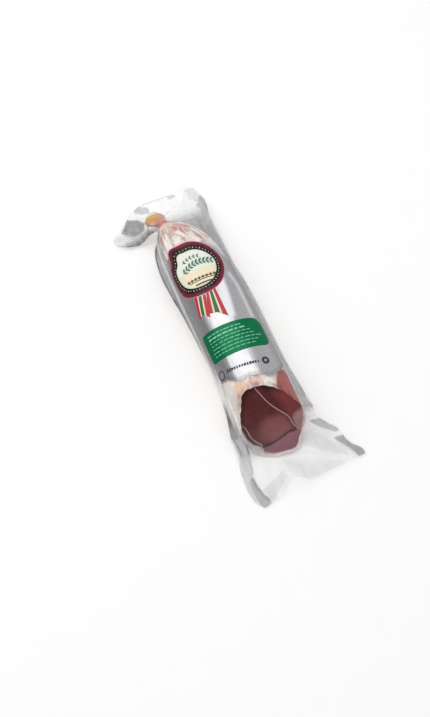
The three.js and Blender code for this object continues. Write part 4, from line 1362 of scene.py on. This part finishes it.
        # painted shade: a dark line along the lowest fold of the cut, laid into the dried rim's dark
        dark = np.maximum(dark, 0.9 * bump(under, 0.0, 0.9))
        ruddy = ease(6, 17, x + 0.35 * (z - 28) + 1.5 * ripple) * ease(17, 24, z) * ease(33, 27, x)
        marks = {"rim": dark, "heart": np.clip(heart, 0, 1), "ruddy": ruddy, "lip": lip * 0.8}
        make_piece("loin_cut_face", make_mesh("loin_cut_face", flat, faces, marks), CutMeat())

    def _tie(self) -> None:
        """Winds two-ply twine round the neck."""
        shape = self.shape
        angle = np.linspace(0, 2 * math.pi * self.tie_turns, self.tie_steps)
        y = self.neck_y + self.tie_length * (angle / angle[-1] - 0.5) + 0.3 * np.sin(angle * 2.3)
        sunk = self.inset + self.neck_dip * bump(y, self.neck_y, self.neck_reach)
        plies = []
        for start in (0.0, math.pi):
            twist = angle * self.tie_twists + start
            out = 0.1 + self.ply * np.cos(twist) - sunk
            x = shape.middle_x(y) + (shape.half_width_at(y) + out) * np.sin(angle)
            z = shape.centre_height + (shape.rise * shape.girth(y) + out) * np.cos(angle)
            plies.append(np.stack([x, y + self.ply * np.sin(twist), z], -1))
        sweep("neck_twine", plies, np.ones((2, len(angle))), (0.75, 0.75), 6, Twine())


# ---- The print

MAROON = PrintInk("maroon_ink", "maroon_ink", "#6c1530", "#8c3049")
PALE_EDGE = PrintInk("rose_ink", "maroon_ink", "#c4748a", "#d295a4")
DARK = PrintInk("dark_ink", "dark_ink", "#1b1a13", "#3d392b")
CREAM = PrintInk("cream_ink", "cream_ink", "#f2f3e9", "#e8eadb")
SAND = PrintInk("sand_ink", "cream_ink", "#f8ecd2", "#efe0bd")
OLIVE = PrintInk("olive_ink", "dark_ink", "#5f5230", "#7b6d42")
LEAF_GREEN = PrintInk("leaf_ink", "green_ink", "#2f6f5d", "#5c9585")
PANEL_GREEN = PrintInk("green_ink", "green_ink", "#007a4a", "#008a58", foil=0.45, roughness=0.32)
MINT = PrintInk("mint_ink", "cream_ink", "#8fd3b4", "#6fbf9b")
LINE_GREY = PrintInk("line_ink", "dark_ink", "#3a3a42", "#5c5c66")

# painted highlights on the silver, as glare off the wrinkled film: right of the ribbons, beside the rosette and at its
# far end
GLARE = (
    Facet(0.0, ((2, 42), (8, 50), (11.5, 46), (10.5, 32), (8.5, 18), (5, 0), (-3, -2), (0, 20)), 1.0, soft=2.5),
    Facet(0.0, ((18, 47), (21, 50), (24, 34), (23.5, 18), (22.5, -6), (19.5, -6), (20, 18), (20.5, 34)), 0.5,
          soft=1.8),
    Facet(0.0, ((6, 96), (22, 96), (25, 84), (26, 70), (23, 73), (20, 82), (13, 88)), 0.6, soft=3.0),
)  # fmt: skip

Mark = tuple[float, float, float, float, float]  # its arc, y, turn, length and width


@dataclass
class Print:
    """The fields of print on the film, each drawn flat and then laid on it."""

    film: FilmMap
    middle_arc: float = -9.0  # the print's own middle line, round the loin from its crest
    thick: float = 0.1
    lift: float = 0.12
    badge_arc: float = -1.1
    badge_y: float = 65.2
    rim: float = 31.5
    ring: float = 27.2
    face: float = 21.2
    edge_width: float = 0.8
    beads: int = 46
    band_parts: int = 12  # how many short bars make a band, so that it follows the film
    silver_far: float = 91.0
    silver_half_arc: float = 41.0
    panel_arc: float = 5.0
    panel_y: float = -20.8
    slope: float = -0.08  # how the rows of the panel and of the badge rise to the left
    panel_half_length: float = 16.0
    panel_half_arc: float = 34.0
    panel_corners: tuple[float, float] = (4.0, 9.0)  # the radii of its left and right ones
    row_step: float = 3.7
    row_heights: tuple[float, ...] = (1.0, 1.7, 0.8, 0.8, 0.8, 0.8, 0.8)
    row_ends: tuple[float, ...] = (8.0, 12.0, 16.0, 20.0, 21.0, 19.0, 14.0)
    line_slope: float = -0.16

    silver_near = Curve((-30, -56), (-24, -60.5), (-10, -65.5), (0, -67), (11, -71.5), (24, -69.5), (41, -62))

    def _drawn(self, arc: Array, y: Array) -> tuple[Array, Array]:
        """Places of the badge, from its own middle, as the shrunk film has drawn them: a corner pulled out at the
        far left beside a dent, and the face a little off the middle."""
        reach, turn = np.hypot(arc, y), np.degrees(np.arctan2(y, arc))
        pull = 1 + 0.17 * bump(turn, 114, 13) - 0.08 * bump(turn, 139, 13) + 0.012 * np.sin(np.radians(5 * turn + 60))
        pull = mix(1.0, pull, ease(4, 18, reach))
        inner = 0.9 * ease(self.rim, self.face, reach)
        return self.badge_arc + arc * pull + inner, self.badge_y + y * pull - inner

    def _slab(
        self, name: str, layer: int, arc: Array, y: Array, ink: Finish, stands_for: Sequence[str] = (),
        closed: bool = False, uv: Sequence[Array] | None = None, glare: Sequence[Facet] = (),
    ) -> None:  # fmt: skip
        """Makes a thin closed slab on the film.

        Args:
            name: the piece's name.
            layer: 1 on the film, 2 on layer 1 and so on.
            arc: a grid of places round the loin from the print's middle line.
            y: the same places along the pack.
            ink: its finish.
            stands_for: the nodes it replaces.
            closed: joins the grid's last column to its first.
            uv: two grids for the UV map of a pattern that follows the field's form.
            glare: where a painted highlight turns it white, in x and y of the pack.
        """
        heights = (self.lift * layer + self.thick, self.lift * layer)
        flat = [np.stack([arc + self.middle_arc, y, np.full_like(arc, height)], -1) for height in heights]
        points = self.film.lay(np.concatenate(flat).reshape(-1, 3))
        x_y = points.T[:2]
        white = {"glare": np.maximum.reduce([facet.white * facet.at(*x_y) for facet in glare])} if glare else {}
        plan = np.stack(uv or (arc, y), -1).reshape(-1, 2)
        mesh = make_mesh(name, points, slab_faces(*arc.shape, closed), white, np.tile(plan, (2, 1)))
        make_piece(name, mesh, ink, stands_for)

    def _field(
        self, name: str, layer: int, size: tuple[int, int], place: Callable[[Array, Array], tuple[Array, Array]],
        ink: Finish, stands_for: Sequence[str] = (), own_uv: bool = False, glare: Sequence[Facet] = (),
    ) -> None:  # fmt: skip
        """Makes a field from a function that gives arc and y from s and t, which run from -1 to 1. They may be its
        UV map too."""
        t, s = np.meshgrid(np.linspace(-1, 1, size[0]), np.linspace(-1, 1, size[1]), indexing="ij")
        self._slab(name, layer, *place(s, t), ink, stands_for, uv=(s, t) if own_uv else None, glare=glare)

    def _ring(
        self, name: str, inner: float, outer: float, layer: int, ink: Finish, stands_for: Sequence[str] = (),
        centre: tuple[float, float] | None = None, steps: int = 180,
    ) -> None:  # fmt: skip
        """Makes a ring between two radii, round the badge's middle or another."""
        turn = 2 * math.pi * np.arange(steps) / steps
        radii = np.linspace(outer, inner, max(3, int(outer - inner) + 2))[:, None]
        arc, y = radii * np.cos(turn), radii * np.sin(turn)
        arc, y = (centre[0] + arc, centre[1] + y) if centre else self._drawn(arc, y)
        self._slab(name, layer, arc, y, ink, stands_for, closed=True)

    def _marks(self, name: str, shape: MarkShape, marks: Sequence[Mark], layer: int, ink: Finish) -> None:
        """Sets small marks out flat by Geometry Nodes and lays them on the film."""
        arc, y, turn, length, width = np.array(marks, float).T
        none = 0 * arc
        points = np.stack([arc + self.middle_arc, y, none + self.lift * layer + self.thick / 2], -1)
        values = {"turn": np.stack([none, none, turn], -1), "size": np.stack([length, width, none + 1], -1)}
        mesh = marks_tree(shape).grow(points, [], values, Thickness=self.thick, Finish=ink.build())
        make_piece(name, reshape(mesh, self.film.lay), ink)

    def build(self) -> None:
        """Makes every field of print, from the silver up."""
        self._silver()
        self._rosette()
        self._ribbons()
        self._panel()
        self._footer()

    def _silver(self) -> None:
        """The silver field, rippled at its ends where the film has shrunk."""

        def place(s: Array, t: Array) -> tuple[Array, Array]:
            """A band over the loin, centred on its crest."""
            ripple = 1.0 * np.sin(7 * s + t) + 0.7 * np.sin(17 * s + 2)
            arc = s * self.silver_half_arc
            y = mix(self.silver_near(arc), self.silver_far, (t + 1) / 2) + ripple * np.abs(t) ** 6 * t
            return arc - self.middle_arc, y

        self._field("silver_print", 1, (170, 130), place, SilverInk(), ["silver_field"], True, GLARE)

    def _rosette(self) -> None:
        """The round rosette: a maroon rim, a dark ring with pale beads, and a cream face with a plain sprig."""
        edge = self.rim - self.edge_width
        self._ring("rosette_edge", edge, self.rim, 2, PALE_EDGE)
        self._ring("rosette_rim", self.ring, edge, 2, MAROON, ["badge_rim"])
        self._ring("rosette_ring", self.face, self.ring, 2, DARK, ["badge_ring"])
        self._ring("rosette_line", self.face - 0.25, self.face + 0.25, 3, CREAM)

        def disc(s: Array, t: Array) -> tuple[Array, Array]:
            """A disc, as a grid drawn in from a square."""
            return self._drawn(self.face * s * np.sqrt(1 - t * t / 2), self.face * t * np.sqrt(1 - s * s / 2))

        def segment(s: Array, t: Array) -> tuple[Array, Array]:
            """The disc's lower part, under a straight edge that rises to the left."""
            down = mix(-0.1, -0.985, (1 - t) / 2)
            wide = s * np.sqrt(1 - down**2) * (self.face - 0.6)
            return self._drawn(wide, down * (self.face - 0.3) - 0.1 * wide * ease(-0.8, -0.1, down))

        self._field("rosette_face", 2, (34, 34), disc, CREAM, ["badge_face"])
        self._field("rosette_ground", 3, (16, 34), segment, SAND)
        turns = 2 * math.pi * np.arange(self.beads) / self.beads
        middle = (self.face + self.ring) / 2
        beads = [(*self._drawn(middle * math.cos(a), middle * math.sin(a)), a, 1.25 if i % 2 else 0.7, 0.85)
                 for i, a in enumerate(turns)]  # fmt: skip
        self._marks("rosette_beads", MarkShape.BEAD, beads, 3, SAND)
        self._marks("rosette_leaves", MarkShape.LEAF, self._sprig(), 3, LEAF_GREEN)
        lozenges = [(arc, self.badge_y - 12.9 + self.slope * arc, self.slope, 4.2, 3.4)
                    for arc in np.arange(-12.5, 16.1, 3.9)]  # fmt: skip
        self._marks("rosette_lozenges", MarkShape.LOZENGE, lozenges, 4, OLIVE)
        parts = (np.arange(self.band_parts) + 0.5) / self.band_parts - 0.5
        bands = [(1.4 + part * length, self.badge_y - down + self.slope * part * length, self.slope,
                  length / self.band_parts * 1.01, width)
                 for down, length, width in ((15.4, 28.0, 0.9), (19.4, 17.0, 1.6)) for part in parts]  # fmt: skip
        self._marks("rosette_bands", MarkShape.BAR, bands, 4, OLIVE)

    def _sprig(self) -> list[Mark]:
        """A plain sprig of leaves: a low arching stem with leaves in pairs, and a small one over it."""
        marks = []
        for start, end, rise, y, count, size in ((-12.5, 17.0, 3.2, 0.4, 9, 5.0), (-8.5, 6.5, 1.4, 10.4, 5, 3.2)):
            for t in np.arange(count) / (count - 1):
                arc = mix(start, end, t)
                place = self.badge_y + y + rise * math.sin(math.pi * t) + 0.06 * (arc - start)
                slope = math.atan2(rise * math.pi * math.cos(math.pi * t), end - start)
                for turn in (slope - 0.85, slope + 0.85):
                    across, along = math.cos(turn) * size / 2, math.sin(turn) * size / 2
                    marks.append((arc + across, place + along, turn, size, size * 0.42))
                marks.append((arc, place, slope, (end - start) / (count - 1) * 1.05, 0.55))
        return marks

    def _ribbons(self) -> None:
        """The two ribbon tails, from under the rosette to a notched end."""
        # the middle and half width at the root and at the tip, y at the tip's left and right corners, and the notch
        left, right = (-8.4, 6.1, -13.9, 6.0, 13.8, 8.6, 4.7), (3.6, 5.2, 0.4, 8.2, 12.9, 1.7, 2.9)
        for name, layer, tail in (("left", 2, left), ("right", 3, right)):
            root, root_half, tip, tip_half, left_y, right_y, notch = tail

            def place(s: Array, t: Array) -> tuple[Array, Array]:
                """One tail, from the rosette's outline to its notched end."""
                down = (1 - t) / 2
                arc = mix(root + s * root_half, tip + s * tip_half, down)
                root_y = self.badge_y - np.sqrt((self.rim + 0.1) ** 2 - (arc - self.badge_arc) ** 2)
                tip_y = mix(left_y, right_y, (s + 1) / 2) + notch * (1 - np.abs(s))
                return arc, mix(root_y, tip_y, down)

            self._field("ribbon_" + name, layer, (34, 13), place, RibbonInk(), ["ribbon_tail_" + name], True)

    def _panel(self) -> None:
        """The green panel, a band with rounded corners, and rows of plain pale bars on it."""

        def place(s: Array, t: Array) -> tuple[Array, Array]:
            """The band, its right corners round and its left ones tight, lying a little askew."""
            radii = np.array(self.panel_corners)[:, None, None]
            into = np.clip((np.abs(t) - 1) * self.panel_half_length / radii + 1, 0, 1)
            left, right = radii * (1 - np.sqrt(1 - into**2 * 0.98))
            arc = mix(left - self.panel_half_arc, self.panel_half_arc - right, (s + 1) / 2)
            return self.panel_arc + arc, self.panel_y + self.slope * arc + t * self.panel_half_length

        self._field("panel_green", 2, (40, 96), place, PANEL_GREEN, ["green_panel"])
        draw = np.random.default_rng(5)
        bars: list[Mark] = []
        for row, (height, last) in enumerate(zip(self.row_heights, self.row_ends)):
            y = self.panel_y + 11.2 - row * self.row_step
            arc = -28.0 + 3 * draw.random()
            while arc < last:
                length = draw.uniform(2.2, 6.0)
                middle = arc + length / 2
                bars.append((self.panel_arc + middle, y + self.slope * middle, self.slope, length, height))
                arc += length + draw.uniform(0.8, 1.6)
        self._marks("panel_bars", MarkShape.BAR, bars, 3, MINT)

    def _footer(self) -> None:
        """The line of plain dashes under the panel, with a small ring at each end."""
        draw = np.random.default_rng(8)
        dashes = [(arc, -51.0 + self.line_slope * arc, self.line_slope, draw.uniform(1.4, 2.5), draw.uniform(2.2, 3.6))
                  for arc in np.arange(-15.6, 15.8, 2.6)]  # fmt: skip
        self._marks("line_dashes", MarkShape.BAR, dashes, 2, LINE_GREY)
        self._ring("line_ring_left", 3.6, 4.8, 2, LINE_GREY, centre=(-25.0, -48.0), steps=48)
        self._ring("line_ring_right", 1.4, 4.0, 2, LINE_GREY, centre=(23.0, -54.7), steps=48)


# ---- The studio


@dataclass(frozen=True)
class Studio:
    """A plain pale floor, soft light from above and the camera."""

    azimuth: float = -24.0
    elevation: float = 64.0
    distance: float = 1000.0
    lens: float = 50.6
    shift: tuple[float, float] = (-0.0216, -0.0404)
    target: tuple[float, float, float] = (0.0, 0.0, 20.0)
    key_towards: tuple[float, float, float] = (-0.24, 0.40, 0.885)
    key_away: float = 1.3
    key_size: tuple[float, float] = (1.3, 1.6)
    key_power: float = 6.6
    floor_half: float = 4000.0
    floor_z: float = -0.3

    @staticmethod
    def _stand(name: str, data: Any, back: Vector, place: Vector) -> bpy.types.Object:
        """Stands a camera or a lamp at a place, looking the other way from back."""
        thing = bpy.data.objects.new(name, data)
        bpy.context.scene.collection.objects.link(thing)
        thing.location = place
        thing.rotation_mode = "QUATERNION"
        thing.rotation_quaternion = (-back).to_track_quat("-Z", "Y")
        return thing

    def build(self) -> None:
        """Makes the camera at the photograph's angle, the lamp, the floor and the world."""
        a, e = math.radians(self.azimuth), math.radians(self.elevation)
        back = Vector((math.sin(a) * math.cos(e), -math.cos(a) * math.cos(e), math.sin(e)))
        camera = bpy.data.cameras.new("camera")
        camera.lens = self.lens
        camera.shift_x, camera.shift_y = self.shift
        place = (Vector(self.target) + back * self.distance) * MM
        bpy.context.scene.camera = self._stand("camera", camera, back, place)
        lamp = bpy.data.lights.new("key", "AREA")
        lamp.shape, lamp.energy = "RECTANGLE", self.key_power
        lamp.size, lamp.size_y = self.key_size
        back = Vector(self.key_towards).normalized()
        self._stand("key", lamp, back, back * self.key_away)
        self._floor()
        self._world()
        bpy.context.scene.view_settings.view_transform = "Standard"

    def _floor(self) -> None:
        """A wide floor just under the bag."""
        ways = ((-1, -1), (1, -1), (1, 1), (-1, 1))
        corners = [(x * self.floor_half, y * self.floor_half, self.floor_z) for x, y in ways]
        mesh = make_mesh("floor", np.array(corners), [range(4)])
        mesh.materials.append(LitAcrylic().build())
        floor = bpy.data.objects.new("floor", mesh)
        bpy.context.scene.collection.objects.link(floor)

    def _world(self) -> None:
        """An even pale room that looks darker in what shines, as a studio hung with black cloth does."""
        world = bpy.data.worlds.new("room")
        world.use_nodes = True
        tree = world.node_tree
        tree.nodes.clear()
        place = put(tree, "ShaderNodeTexCoord", out="Generated")
        across, front = put(tree, "ShaderNodeSeparateXYZ", {0: place}).node.outputs[:2]
        side = put(tree, "ShaderNodeMapRange", {"Value": across, "From Min": -1.0, "From Max": 1.0})
        walls = ramp(tree, side, (0.0, "#6d6d6f"), (0.35, "#808082"), (0.9, "#acacae"))
        dim = glaze(tree, walls, (front, 0.1, -0.9, "#303031", 0.75))
        ray = put(tree, "ShaderNodeLightPath", out="Is Glossy Ray")
        parts = {"Factor": ray, "A": (0.70, 0.70, 0.70, 1.0), "B": dim}
        seen = put(tree, "ShaderNodeMix", parts, out=2, data_type="RGBA")
        sky = put(tree, "ShaderNodeBackground", {"Color": seen, "Strength": 1.0})
        put(tree, "ShaderNodeOutputWorld", {"Surface": sky})
        bpy.context.scene.world = world


def main() -> None:
    """Builds the pack's pieces in order, then the studio."""
    logging.basicConfig(level=logging.INFO, format="%(name)s %(message)s")
    shape = PackShape()
    Bag(shape).build()
    Loin(shape).build()
    Print(FilmMap(shape)).build()
    Studio().build()


if __name__ == "__main__":
    main()
